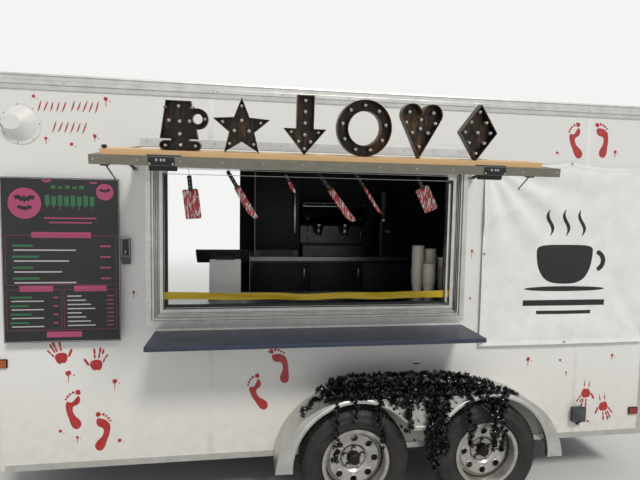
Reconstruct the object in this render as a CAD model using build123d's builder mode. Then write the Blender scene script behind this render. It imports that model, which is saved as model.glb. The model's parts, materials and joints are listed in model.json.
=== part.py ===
from build123d import *
from math import atan2, cos, degrees, hypot, radians, sin, sqrt
import os

os.makedirs("parts", exist_ok=True)

# Tandem-axle concession trailer, millimetres.
# +X runs to the rear, +Y away from the serving side, +Z up; the ground is Z = 0.
# The serving side faces -Y. The origin is under the middle of the whole object.

# Driving dimensions of the body
BODY_W = 2134                # outside width of the two skins, 7 ft
FRONT = 2540                 # middle of the axle pair to the front wall
REAR = 1727                  # middle of the axle pair to the rear frame, 14 ft in all
WALL_T = 45
SKIN_T = 4
FRAME_Z = (322, 449)         # bottom and top of the chassis rails
DECK_Z = 468                 # top of the floor
SKIRT_Z = 318
WALL_TOP = 2545
ROOF_EDGE_Z = 2583
ROOF_CROWN = 37
RAIL_TOP = 2593
CORNER_R = 75

# Driving dimensions of the running gear
AXLE_SPACING = 850
TYRE_R = 338
TYRE_W = 200
TRACK = 1183                 # middle plane of a wheel from the trailer's middle plane
RIM_R = 208
SPINDLE_R = 19
BEAM_DROP = 102
BEAM_R = 30
FENDER_OUT = 1305

# Driving dimensions of the window, hatch and shelf, from the middle of the axle pair
FLANGE_X = (-1675, 322)
FLANGE_Z = (1157, 2165)
CLEAR_X = (-1555, 190)
CLEAR_Z = (1277, 2100)
HATCH_X = (-1700, 311)
HATCH_LEN = 925
HATCH_ANGLE = 8.7            # front edge below level
HATCH_N = (-10, 28)          # underside and top from the hinge axis
HINGE_OFF = 22
HINGE_Z = 2186
SHELF_X = (-1618, 300)
SHELF_TOP = 1133
SHELF_DEPTH = 326
SHELF_T = 25
SHELF_AXIS_OFF = 34

# Driving dimensions of the doors
DOOR_X = (-2090, -1155)      # doorway in the entry wall
DOOR_Z = (468, 2380)
DOOR_OPEN = 97               # how far the entry door stands open
REAR_POST = 70
REAR_OPEN_Z = (468, 2400)

# Driving dimensions of the tongue
TONGUE = 1150                # front wall to the coupler's nose
REAR_HARDWARE = 60           # lock bars behind the rear frame

AX = (FRONT + TONGUE - REAR - REAR_HARDWARE) / 2
HALF = BODY_W / 2
S = -HALF                    # serving side's skin
X_FRONT = AX - FRONT
X_REAR = AX + REAR
X_NOSE = X_FRONT - TONGUE
X_POST = X_REAR - REAR_POST
HUB_Z = TYRE_R
AXLES = {"front": AX - AXLE_SPACING / 2, "rear": AX + AXLE_SPACING / 2}
SIDES = {"left": -1, "right": 1}


def block(x, y, z, mode=Mode.ADD):
    """A block between two limits along each axis."""
    middle = ((x[0] + x[1]) / 2, (y[0] + y[1]) / 2, (z[0] + z[1]) / 2)
    with Locations(middle):
        Box(x[1] - x[0], y[1] - y[0], z[1] - z[0], mode=mode)


def span(side, near, far):
    """Limits along Y on one side of the trailer, from distances to its middle plane."""
    return (near, far) if side > 0 else (-far, -near)


def at(pair):
    """Limits along X, given from the middle of the axle pair."""
    return (AX + pair[0], AX + pair[1])


def save(part, name):
    part.label = name
    export_step(part, f"parts/{name}.step")


# Chassis: side rails, cross members and the A-frame tongue, welded into one piece
RAIL_W = 51
TONGUE_W = 76
TONGUE_Z = 350               # underside of the A-frame
TONGUE_SPREAD = 640          # half width of the A-frame where it meets the front rail
TONGUE_TIP = 150             # coupler's nose to the tip of the A-frame
CROSS_MEMBERS = 9
with BuildPart() as chassis:
    for side in SIDES.values():
        block((X_FRONT + SKIN_T, X_POST), span(side, HALF - SKIN_T - RAIL_W, HALF - SKIN_T), FRAME_Z)
    for i in range(CROSS_MEMBERS):
        start = X_FRONT + SKIN_T + i * (X_POST - X_FRONT - SKIN_T - RAIL_W) / (CROSS_MEMBERS - 1)
        drop = 0 if i in (0, CROSS_MEMBERS - 1) else 50
        block((start, start + RAIL_W), (-HALF + RAIL_W, HALF - RAIL_W), (FRAME_Z[0] + drop, FRAME_Z[1]))
    front_ends = chassis.edges().filter_by(Axis.Z).group_by(Axis.X)[0]
    fillet(front_ends, CORNER_R - SKIN_T)
    with BuildSketch(Plane.XY.offset(TONGUE_Z)):
        with BuildLine():
            Polyline(
                (X_NOSE + TONGUE_TIP, 0),
                (X_NOSE + TONGUE_TIP, 42),
                (X_FRONT + 10, TONGUE_SPREAD + TONGUE_W),
                (X_FRONT + 10, TONGUE_SPREAD),
                (X_NOSE + TONGUE_TIP + 90, 0),
                close=True,
            )
        make_face()
        mirror(about=Plane.XZ)
    extrude(amount=FRAME_Z[1] - TONGUE_Z)
save(chassis.part, "chassis_frame")


def tongue_notches():
    """Cut the front skin free of the two tongue bars."""
    for side in SIDES.values():
        notch_y = span(side, TONGUE_SPREAD - 14, TONGUE_SPREAD + TONGUE_W + 4)
        block((X_FRONT - 10, X_FRONT + SKIN_T), notch_y, (TONGUE_Z, FRAME_Z[1]), mode=Mode.SUBTRACT)


# Coupler: pressed housing with a ball socket, open below, and its latch lever
COUPLER_Z = (392, 462)
BALL_R = 25.4
BALL_X = X_NOSE + 52
with BuildPart() as coupler:
    with BuildSketch(Plane.XY.offset(FRAME_Z[1])):
        with BuildLine():
            Polyline((BALL_X, 46), (X_NOSE + 330, 38), (X_NOSE + 330, -38), (BALL_X, -46))
            ThreePointArc((BALL_X, -46), (X_NOSE, 0), (BALL_X, 46))
        make_face()
    extrude(amount=COUPLER_Z[1] - FRAME_Z[1])
    with BuildSketch(Plane.XY.offset(COUPLER_Z[0])):
        with BuildLine():
            Polyline((BALL_X, 46), (X_NOSE + TONGUE_TIP, 44), (X_NOSE + TONGUE_TIP, -44), (BALL_X, -46))
            ThreePointArc((BALL_X, -46), (X_NOSE, 0), (BALL_X, 46))
        make_face()
    extrude(amount=FRAME_Z[1] - COUPLER_Z[0])
    with Locations((BALL_X, 0, COUPLER_Z[0] + 18)):
        Sphere(BALL_R + 1.2, mode=Mode.SUBTRACT)
    with Locations((BALL_X, 0, COUPLER_Z[0] + 9)):
        Cylinder(BALL_R + 1.2, 18, mode=Mode.SUBTRACT)
    block((X_NOSE + 90, X_NOSE + 210), (-9, 9), (COUPLER_Z[1], COUPLER_Z[1] + 26))
    block((X_NOSE + 200, X_NOSE + 290), (-7, 7), (COUPLER_Z[1] + 18, COUPLER_Z[1] + 30))
save(coupler.part, "coupler")

# Tongue jack: plate and outer tube with its crank, and the inner leg with its foot
JACK_X = X_NOSE + 420
JACK_TUBE_R = 28.5
JACK_LEG_R = 22
JACK_CLEAR = 0.05
JACK_TUBE_Z = (290, 800)
JACK_LEG_Z = (8, 440)
JACK_BORE = 450
with BuildPart() as jack_tube:
    with BuildSketch(Plane.XY.offset(FRAME_Z[1])):
        with Locations((JACK_X, 0)):
            Trapezoid(250, 130, 72, rotation=-90)
        with Locations((JACK_X, 0)):
            Circle(JACK_LEG_R + JACK_CLEAR, mode=Mode.SUBTRACT)
    extrude(amount=10)
    with Locations((JACK_X, 0, sum(JACK_TUBE_Z) / 2)):
        Cylinder(JACK_TUBE_R, JACK_TUBE_Z[1] - JACK_TUBE_Z[0])
    with Locations((JACK_X, 0, JACK_TUBE_Z[0] + JACK_BORE / 2 - 1)):
        Cylinder(JACK_LEG_R + JACK_CLEAR, JACK_BORE, mode=Mode.SUBTRACT)
    with Locations((JACK_X, 0, JACK_TUBE_Z[1] + 8)):
        Cylinder(JACK_TUBE_R + 5, 22)
    with Locations((JACK_X, 0, JACK_TUBE_Z[1] + 26)):
        Cylinder(9, 24)
    with Locations((JACK_X + 65, 0, JACK_TUBE_Z[1] + 36)):
        Box(150, 16, 9)
    with Locations((JACK_X + 132, 0, JACK_TUBE_Z[1] + 75)):
        Cylinder(11, 80)
save(jack_tube.part, "jack_tube")
with BuildPart() as jack_leg:
    with Locations((JACK_X, 0, sum(JACK_LEG_Z) / 2)):
        Cylinder(JACK_LEG_R, JACK_LEG_Z[1] - JACK_LEG_Z[0])
    with BuildSketch(Plane.XY):
        with Locations((JACK_X, 0)):
            RectangleRounded(130, 130, 16)
    extrude(amount=JACK_LEG_Z[0])
save(jack_leg.part, "jack_leg")

# Floor deck
with BuildPart() as deck:
    block((X_FRONT + WALL_T, X_POST), (-HALF + WALL_T, HALF - WALL_T), (FRAME_Z[1], DECK_Z))
    fillet(deck.edges().filter_by(Axis.Z).group_by(Axis.X)[0], CORNER_R - WALL_T)
save(deck.part, "floor_deck")

# Side walls with the skirt of the skin that covers the chassis rail
WALL_X = (X_FRONT + CORNER_R, X_POST)
FLANGE_LAP = 20
with BuildPart() as wall_serving:
    block(WALL_X, span(-1, HALF - WALL_T, HALF), (FRAME_Z[1], WALL_TOP))
    block(WALL_X, span(-1, HALF - SKIN_T, HALF), (SKIRT_Z, FRAME_Z[1]))
    hole_x = (AX + FLANGE_X[0] + FLANGE_LAP, AX + FLANGE_X[1] - FLANGE_LAP)
    hole_z = (FLANGE_Z[0] + FLANGE_LAP, FLANGE_Z[1] - FLANGE_LAP)
    block(hole_x, (S - 10, S + WALL_T + 10), hole_z, mode=Mode.SUBTRACT)
save(wall_serving.part, "wall_serving")

with BuildPart() as wall_entry:
    block(WALL_X, span(1, HALF - WALL_T, HALF), (FRAME_Z[1], WALL_TOP))
    block(WALL_X, span(1, HALF - SKIN_T, HALF), (SKIRT_Z, FRAME_Z[1]))
    block(at(DOOR_X), (HALF - WALL_T - 10, HALF + 10), DOOR_Z, mode=Mode.SUBTRACT)
save(wall_entry.part, "wall_entry")

CROWN_R = (HALF**2 + ROOF_CROWN**2) / (2 * ROOF_CROWN)


def roof_z(y):
    """Height of the crowned roof at a distance from the middle plane."""
    return ROOF_EDGE_Z + ROOF_CROWN - CROWN_R + sqrt(CROWN_R**2 - y**2)


def crowned(half, low, lift=0.0, mode=Mode.ADD):
    """Face between a flat lower edge and the roof's crown, raised by a lift."""
    end = roof_z(half) + lift
    with BuildLine() as edge:
        Polyline((-half, end), (-half, low), (half, low), (half, end))
        ThreePointArc((half, end), (0, ROOF_EDGE_Z + ROOF_CROWN + lift), (-half, end))
    make_face(edge.edges(), mode=mode)


FRONT_HALF = HALF - CORNER_R
with BuildPart() as wall_front:
    with BuildSketch(Plane.YZ.offset(X_FRONT)):
        crowned(FRONT_HALF, FRAME_Z[1])
    extrude(amount=WALL_T)
    block((X_FRONT, X_FRONT + SKIN_T), (-FRONT_HALF, FRONT_HALF), (SKIRT_Z, FRAME_Z[1]))
    tongue_notches()
save(wall_front.part, "wall_front")

# Rounded front corner posts: thick above the deck, bare skin round the chassis corner
with BuildPart() as corner_posts:
    for thick, low, high in ((WALL_T, FRAME_Z[1], ROOF_EDGE_Z), (SKIN_T, SKIRT_Z, FRAME_Z[1])):
        with BuildSketch(Plane.XY.offset(low)):
            for side in SIDES.values():
                with Locations((X_FRONT + CORNER_R, side * FRONT_HALF)):
                    Circle(CORNER_R)
                    Circle(CORNER_R - thick, mode=Mode.SUBTRACT)
            with Locations((X_FRONT + CORNER_R + HALF / 2, 0)):
                Rectangle(HALF, BODY_W, mode=Mode.SUBTRACT)
            with Locations((X_FRONT + CORNER_R / 2, 0)):
                Rectangle(CORNER_R, 2 * FRONT_HALF, mode=Mode.SUBTRACT)
        extrude(amount=high - low)
save(corner_posts.part, "corner_posts")

# Rear frame round the two doors
with BuildPart() as rear_frame:
    with BuildSketch(Plane.YZ.offset(X_POST)):
        crowned(HALF, SKIRT_Z)
        with Locations((0, sum(REAR_OPEN_Z) / 2)):
            Rectangle(BODY_W - 2 * REAR_POST, REAR_OPEN_Z[1] - REAR_OPEN_Z[0], mode=Mode.SUBTRACT)
    extrude(amount=REAR_POST)
save(rear_frame.part, "rear_frame")

# Crowned roof, fitted between the front posts
with BuildPart() as roof:
    with BuildSketch(Plane.YZ.offset(X_FRONT + WALL_T)):
        crowned(HALF, WALL_TOP)
    extrude(amount=X_POST - X_FRONT - WALL_T)
    for side in SIDES.values():
        corner_y = span(side, HALF - WALL_T, HALF + 1)
        block((X_FRONT, WALL_X[0]), corner_y, (WALL_TOP - 1, RAIL_TOP), mode=Mode.SUBTRACT)
    add(corner_posts.part, mode=Mode.SUBTRACT)
save(roof.part, "roof")

# Top rails: extrusion with a lip over the roof's edge, a flat band and a screw flange
TOP_RAIL = (              # distance out from the skin, height
    (-24, RAIL_TOP), (12, RAIL_TOP), (14, RAIL_TOP - 10), (8, RAIL_TOP - 14), (8, RAIL_TOP - 34),
    (14, RAIL_TOP - 38), (14, RAIL_TOP - 58), (8, RAIL_TOP - 62), (6, RAIL_TOP - 85),
    (0, RAIL_TOP - 85), (0, RAIL_TOP - 7), (-24, RAIL_TOP - 7),
)
CAP_OUT = 14                 # corner caps from the corner posts
with BuildPart() as top_rails:
    for side in SIDES.values():
        with BuildSketch(Plane.YZ.offset(WALL_X[0])):
            with BuildLine():
                Polyline([(side * (HALF + out), z) for out, z in TOP_RAIL], close=True)
            make_face()
        extrude(amount=X_REAR - WALL_X[0])
    with BuildSketch(Plane.YZ.offset(X_FRONT - 10)):
        crowned(FRONT_HALF, RAIL_TOP - 85, lift=10)
    extrude(amount=10)
    with BuildSketch(Plane.YZ.offset(X_FRONT)):
        crowned(FRONT_HALF, WALL_TOP, lift=10)
        crowned(FRONT_HALF, WALL_TOP - 1, lift=3, mode=Mode.SUBTRACT)
    extrude(amount=24)
    for side in SIDES.values():
        corner = (X_FRONT + CORNER_R, side * FRONT_HALF, 0)
        with BuildSketch(Plane(origin=corner, x_dir=(-1, 0, 0), z_dir=(0, 1, 0))):
            with BuildLine():
                Polyline(
                    (CORNER_R, RAIL_TOP - 117),
                    (CORNER_R + CAP_OUT, RAIL_TOP - 110),
                    (CORNER_R + CAP_OUT, RAIL_TOP - 12),
                )
                ThreePointArc(
                    (CORNER_R + CAP_OUT, RAIL_TOP - 12),
                    (CORNER_R + 8, RAIL_TOP),
                    (CORNER_R - 24, RAIL_TOP + 3),
                )
                Polyline(
                    (CORNER_R - 24, RAIL_TOP + 3), (CORNER_R - 24, RAIL_TOP - 7),
                    (CORNER_R, RAIL_TOP - 7), (CORNER_R, RAIL_TOP - 117),
                )
            make_face()
        revolve(axis=Axis(corner, (0, 0, -side)), revolution_arc=90)
save(top_rails.part, "top_rails")

# Bottom trims: angle along the skirt's lower edge
TRIM_Z = 314
TRIM_H = 36
TRIM = (                     # distance out from the skin, height
    (-SKIN_T, TRIM_Z), (6, TRIM_Z), (6, TRIM_Z + TRIM_H),
    (0, TRIM_Z + TRIM_H), (0, SKIRT_Z), (-SKIN_T, SKIRT_Z),
)
with BuildPart() as bottom_trims:
    for side in SIDES.values():
        with BuildSketch(Plane.YZ.offset(WALL_X[0])):
            with BuildLine():
                Polyline([(side * (HALF + out), z) for out, z in TRIM], close=True)
            make_face()
        extrude(amount=X_REAR - WALL_X[0])
    with BuildSketch(Plane.XZ.offset(HALF - CORNER_R)):
        with BuildLine():
            Polyline([(X_FRONT - out, z) for out, z in TRIM], close=True)
        make_face()
    extrude(amount=-(BODY_W - 2 * CORNER_R))
save(bottom_trims.part, "bottom_trims")

# Treadplate stone guard on the front wall
with BuildPart() as stone_guard:
    block((X_FRONT - 4, X_FRONT), (-FRONT_HALF, FRONT_HALF), (TRIM_Z + TRIM_H, 1000))
    tongue_notches()
save(stone_guard.part, "stone_guard")

# Window frame: flange on the skin, then glass tracks that step into the wall
# Each step: distance in from the flange's edge, depth of its face behind the skin
TRACKS = ((30, 14), (38, -3), (46, 20), (78, 3), (98, 34))
FRAME_FACE = 5
with BuildPart() as window_frame:
    mid_x = AX + sum(FLANGE_X) / 2
    mid_z = sum(FLANGE_Z) / 2
    wide = FLANGE_X[1] - FLANGE_X[0]
    tall = FLANGE_Z[1] - FLANGE_Z[0]
    clear_x = at(CLEAR_X)
    block(at(FLANGE_X), (S - FRAME_FACE, S), FLANGE_Z)
    block(hole_x, (S, S + WALL_T + 8), hole_z)
    for step, (inset, depth) in enumerate(TRACKS):
        deeper = TRACKS[step + 1][0] if step + 1 < len(TRACKS) else 120
        with BuildSketch(Plane.XZ.offset(-S + FRAME_FACE)):
            with Locations((mid_x, mid_z)):
                Rectangle(wide - 2 * inset, tall - 2 * inset)
                Rectangle(wide - 2 * deeper, tall - 2 * deeper, mode=Mode.SUBTRACT)
        extrude(amount=-(FRAME_FACE + depth), mode=Mode.SUBTRACT)
    block(clear_x, (S - 10, S + WALL_T + 10), CLEAR_Z, mode=Mode.SUBTRACT)
save(window_frame.part, "window_frame")

# Hatch: a panel that lies on its own plane, tilted about the hinge axis
hinge_y = S - HINGE_OFF
tilt = radians(HATCH_ANGLE)
out_dir = Vector(0, -cos(tilt), -sin(tilt))
up_dir = Vector(0, -sin(tilt), cos(tilt))
hinge = Vector(0, hinge_y, HINGE_Z)
HATCH = Plane(origin=hinge, x_dir=(1, 0, 0), z_dir=up_dir)
hatch_mid = AX + sum(HATCH_X) / 2
hatch_wide = HATCH_X[1] - HATCH_X[0]
EDGE_W = 34
KNUCKLE_R = 7
STUD_AT = 400


def hatch_block(x, out, up, mode=Mode.ADD):
    """A block on the hatch, from limits along X, out from the hinge axis and up from its plane."""
    with BuildSketch(HATCH.offset(up[0])) as outline:
        with Locations(((x[0] + x[1]) / 2, -(out[0] + out[1]) / 2)):
            Rectangle(x[1] - x[0], out[1] - out[0])
    extrude(outline.sketch, amount=up[1] - up[0], mode=mode)


with BuildPart() as hatch_edge:
    hatch_block(at(HATCH_X), (14, HATCH_LEN), HATCH_N)
    inner_x = (AX + HATCH_X[0] + EDGE_W, AX + HATCH_X[1] - EDGE_W)
    inner_out = (14 + EDGE_W, HATCH_LEN - EDGE_W)
    hatch_block(inner_x, inner_out, (HATCH_N[0] - 1, HATCH_N[1] + 1), mode=Mode.SUBTRACT)
    hatch_block(at(HATCH_X), (0, 15), (-3, 3))
    with Locations(Plane(origin=(hatch_mid, hinge_y, HINGE_Z), z_dir=(1, 0, 0))):
        Cylinder(KNUCKLE_R, hatch_wide)
    for end, away in ((HATCH_X[0], -1), (HATCH_X[1], 1)):
        stud = Vector(AX + end + away * 8, 0, 0) + hinge + out_dir * STUD_AT + up_dir * 9
        with Locations(Plane(origin=stud, z_dir=(1, 0, 0))):
            Cylinder(5, 18)
save(hatch_edge.part, "hatch_edge")

with BuildPart() as hatch_panel:
    hatch_block(inner_x, inner_out, (HATCH_N[0] + 2, HATCH_N[1] - 2))
save(hatch_panel.part, "hatch_panel")

# Fixed hinge rail: a strip on the skin with a half tube over the knuckle
with BuildPart() as hinge_rail:
    with BuildSketch(Plane.YZ.offset(AX + HATCH_X[0])):
        with Locations((S - 3, HINGE_Z + 40)):
            Rectangle(6, 76)
        with Locations((hinge_y, HINGE_Z)):
            Circle(KNUCKLE_R + 5)
        with Locations(((S + hinge_y) / 2, HINGE_Z + KNUCKLE_R + 3)):
            Rectangle(HINGE_OFF, 4)
        with Locations((hinge_y, HINGE_Z)):
            Circle(KNUCKLE_R + 0.8, mode=Mode.SUBTRACT)
        with Locations((hinge_y - 10, HINGE_Z - 12)):
            Rectangle(44, 36, mode=Mode.SUBTRACT)
    extrude(amount=hatch_wide)
save(hinge_rail.part, "hinge_rail")

# Latches: a plate on the front edge and a handle under it that hooks behind the sill
LATCHES = (-1427, -5)
HANDLE_OUT = (862, HATCH_LEN - EDGE_W + 4)
HANDLE_N = (HATCH_N[0] - 24, HATCH_N[0])
with BuildPart() as hatch_latches:
    for place in LATCHES:
        hatch_block((AX + place - 75, AX + place + 75), (HATCH_LEN, HATCH_LEN + 4), (-6, 24))
        hatch_block((AX + place - 55, AX + place + 55), HANDLE_OUT, HANDLE_N)
save(hatch_latches.part, "hatch_latches")

# Plank along the hatch's front edge, and six lamp shapes standing on it
PLANK_X = (-1666, 236)
PLANK_OUT = (752, 895)
PLANK_T = 22
SIGN_H = 243
SIGN_T = 42
SIGN_OUT = 880
SIGN_WALL = 4
SIGN_X = (-1350, -1112, -850, -595, -344, -77)
with BuildPart() as plank:
    hatch_block(at(PLANK_X), PLANK_OUT, (HATCH_N[1], HATCH_N[1] + PLANK_T))
save(plank.part, "sign_plank")


def cup():
    with Locations((-12, 122)):
        Trapezoid(150, 150, 100, rotation=180)
    with Locations((62, 128)):
        Circle(42)
    with Locations((62, 128)):
        Circle(20, mode=Mode.SUBTRACT)
    with Locations((-8, 20)):
        SlotOverall(164, 40)
    with Locations((-8, 40)):
        Rectangle(70, 30)


def star():
    points = []
    for i in range(10):
        reach = 122 if i % 2 == 0 else 54
        turn = radians(90 + 36 * i)
        points.append((reach * cos(turn), 99 + reach * sin(turn)))
    with BuildLine() as edge:
        Polyline(points, close=True)
    make_face(edge.edges())


def arrow():
    with Locations((0, 165)):
        Rectangle(72, 156)
    with BuildLine() as edge:
        Polyline((0, 0), (90, 108), (-90, 108), close=True)
    make_face(edge.edges())


def ring():
    with Locations((0, 119)):
        Circle(119)
        Circle(72, mode=Mode.SUBTRACT)


def heart():
    with BuildLine() as edge:
        Polyline((-88, 168), (0, 0), (88, 168))
        ThreePointArc((88, 168), (46, 232), (0, 190))
        ThreePointArc((0, 190), (-46, 232), (-88, 168))
    make_face(edge.edges())


def diamond():
    with BuildLine() as edge:
        Polyline((0, 0), (86, 121), (0, 242), (-86, 121), close=True)
    make_face(edge.edges())


SIGN_SHAPES = (cup, star, arrow, ring, heart, diamond)
with BuildPart() as sign_lamps:
    for place, shape in zip(SIGN_X, SIGN_SHAPES):
        foot = Vector(AX + place, 0, 0) + hinge + out_dir * SIGN_OUT + up_dir * (HATCH_N[1] + PLANK_T)
        face = Plane(origin=foot, x_dir=(1, 0, 0), z_dir=out_dir)
        with BuildSketch(face) as outline:
            shape()
        extrude(amount=-SIGN_T)
        recess = offset(outline.sketch, amount=-SIGN_WALL, mode=Mode.PRIVATE)
        extrude(recess, amount=-(SIGN_T - 6), mode=Mode.SUBTRACT)
save(sign_lamps.part, "sign_lamps")

# Gas struts: a tube hinged at the wall and a rod whose eye sits beside the hatch's stud
STRUT_Z = 2085
STRUT_OFF = 30
STRUT_BESIDE = 25
TUBE_R = 9
ROD_R = 4
TUBE_LEN = 235
stud_y = hinge_y + out_dir.Y * STUD_AT + up_dir.Y * 9
stud_z = HINGE_Z + out_dir.Z * STUD_AT + up_dir.Z * 9
strut_y = S - STRUT_OFF
strut_len = hypot(stud_y - strut_y, stud_z - STRUT_Z)
along = Vector(0, stud_y - strut_y, stud_z - STRUT_Z).normalized()
STRUT_ENDS = {"front": HATCH_X[0] - STRUT_BESIDE, "rear": HATCH_X[1] + STRUT_BESIDE}
for name, place in STRUT_ENDS.items():
    foot = Vector(AX + place, strut_y, STRUT_Z)
    with BuildPart() as strut_tube:
        with Locations(Plane(origin=foot, z_dir=(1, 0, 0))):
            Cylinder(10, 12)
        with BuildSketch(Plane(origin=foot + along * 6, z_dir=along)):
            Circle(TUBE_R)
        extrude(amount=TUBE_LEN)
        with BuildSketch(Plane(origin=foot + along * 40, z_dir=along)):
            Circle(ROD_R + 0.05)
        extrude(amount=TUBE_LEN, mode=Mode.SUBTRACT)
        with Locations(Plane(origin=foot, z_dir=(1, 0, 0))):
            Cylinder(5.05, 14, mode=Mode.SUBTRACT)
    save(strut_tube.part, f"strut_tube_{name}")
    with BuildPart() as strut_rod:
        with BuildSketch(Plane(origin=foot + along * 140, z_dir=along)):
            Circle(ROD_R)
        extrude(amount=strut_len - 140)
        with Locations(Plane(origin=foot + along * strut_len, z_dir=(1, 0, 0))):
            Cylinder(9, 12)
    save(strut_rod.part, f"strut_rod_{name}")

# Wall brackets of the struts
with BuildPart() as strut_brackets:
    for place, away in zip(STRUT_ENDS.values(), (-1, 1)):
        block((AX + place - 13, AX + place + 13), (S - 4, S), (STRUT_Z - 30, STRUT_Z + 30))
        ear = sorted((AX + place + away * 15, AX + place + away * 9.5))
        block(ear, (S - STRUT_OFF - 8, S), (STRUT_Z - 9, STRUT_Z + 9))
        with Locations(Plane(origin=(AX + place + away * 2, strut_y, STRUT_Z), z_dir=(1, 0, 0))):
            Cylinder(5, 16)
save(strut_brackets.part, "strut_brackets")

# Serving shelf on its fixed rail
SHELF_AXIS_Z = SHELF_TOP - SHELF_T - 2
shelf_axis_y = S - SHELF_AXIS_OFF
with BuildPart() as shelf_rail:
    rail_x = at(SHELF_X)
    block(rail_x, (S - SHELF_AXIS_OFF + 9, S), (SHELF_TOP - SHELF_T - 14, SHELF_TOP))
    block(rail_x, (S - FRAME_FACE, S), (SHELF_TOP, FLANGE_Z[0]))
save(shelf_rail.part, "shelf_rail")
HINGES = (-1500, -1050, -600, -150, 220)
with BuildPart() as shelf:
    with BuildSketch(Plane.XY.offset(SHELF_TOP - SHELF_T)):
        with Locations((AX + sum(SHELF_X) / 2, S - SHELF_AXIS_OFF + 2 - SHELF_DEPTH / 2)):
            Rectangle(SHELF_X[1] - SHELF_X[0], SHELF_DEPTH)
    extrude(amount=SHELF_T)
    fillet(shelf.edges().filter_by(Axis.Z).group_by(Axis.Y)[0], 12)
    for place in HINGES:
        with Locations(Plane(origin=(AX + place, shelf_axis_y, SHELF_AXIS_Z), z_dir=(1, 0, 0))):
            Cylinder(5, 70)
save(shelf.part, "serving_shelf")

# Fenders: a bent sheet over both wheels, with an outer skirt cut out round each wheel
FENDER_T = 3
FENDER_TOP = 745
FENDER_END = 915
FENDER_LOW = 320
ARCH_R = 390
APRON_Z = 548


def fender_outline(inset):
    top = FENDER_TOP - inset
    end = FENDER_END - inset
    with BuildLine() as edge:
        Polyline((AX - end, FENDER_LOW), (AX + end, FENDER_LOW))
        ThreePointArc((AX + end, FENDER_LOW), (AX + 785 - inset * 0.7, 608 - inset * 0.7), (AX + 500, top))
        Line((AX + 500, top), (AX - 500, top))
        ThreePointArc((AX - 500, top), (AX - 785 + inset * 0.7, 608 - inset * 0.7), (AX - end, FENDER_LOW))
    make_face(edge.edges())


with BuildPart() as fenders:
    for side in SIDES.values():
        skin = Plane(origin=(0, side * (HALF + 1), 0), x_dir=(1, 0, 0), z_dir=(0, -1, 0))
        wide = FENDER_OUT - HALF - 1
        with BuildSketch(skin):
            fender_outline(0)
        extrude(amount=-side * wide)
        with BuildSketch(skin):
            fender_outline(FENDER_T)
        extrude(amount=-side * (wide - FENDER_T), mode=Mode.SUBTRACT)
        block((AX - FENDER_END, AX + FENDER_END), span(side, HALF, FENDER_OUT - FENDER_T),
              (FENDER_LOW - 5, FENDER_LOW + FENDER_T + 1), mode=Mode.SUBTRACT)
        trim_y = span(side, HALF, HALF + 8)
        block((AX - FENDER_END, AX + FENDER_END), trim_y, (0, TRIM_Z + TRIM_H + 2), mode=Mode.SUBTRACT)
        with BuildSketch(skin):
            for axle in AXLES.values():
                with Locations((axle, HUB_Z)):
                    Circle(ARCH_R)
            with Locations((AX, (APRON_Z + 200) / 2)):
                Rectangle(AXLE_SPACING, APRON_Z - 200)
            with Locations((AX, (HUB_Z + 200) / 2)):
                Rectangle(AXLE_SPACING + 2 * ARCH_R, HUB_Z - 200)
        extrude(amount=-side * (wide + 5), mode=Mode.SUBTRACT)
save(fenders.part, "fenders")

# Axles: a beam under the springs, an arm up to each spindle outside the body
ARM_Y = (HALF + 8, HALF + 30)
SPINDLE_END = TRACK + 10
with BuildPart() as axles:
    for axle in AXLES.values():
        with Locations(Plane(origin=(axle, 0, HUB_Z - BEAM_DROP), z_dir=(0, 1, 0))):
            Cylinder(BEAM_R, 2 * ARM_Y[1])
        for side in SIDES.values():
            arm_mid = (axle, side * ARM_Y[0], HUB_Z - BEAM_DROP / 2)
            arm = Plane(origin=arm_mid, x_dir=(1, 0, 0), z_dir=(0, side, 0))
            with BuildSketch(arm):
                SlotCenterToCenter(BEAM_DROP, 2 * BEAM_R, rotation=90)
            extrude(amount=ARM_Y[1] - ARM_Y[0])
            with BuildSketch(Plane(origin=(axle, side * ARM_Y[0], HUB_Z), z_dir=(0, side, 0))):
                Circle(SPINDLE_R)
            extrude(amount=SPINDLE_END - ARM_Y[0])
save(axles.part, "axles")

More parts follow.
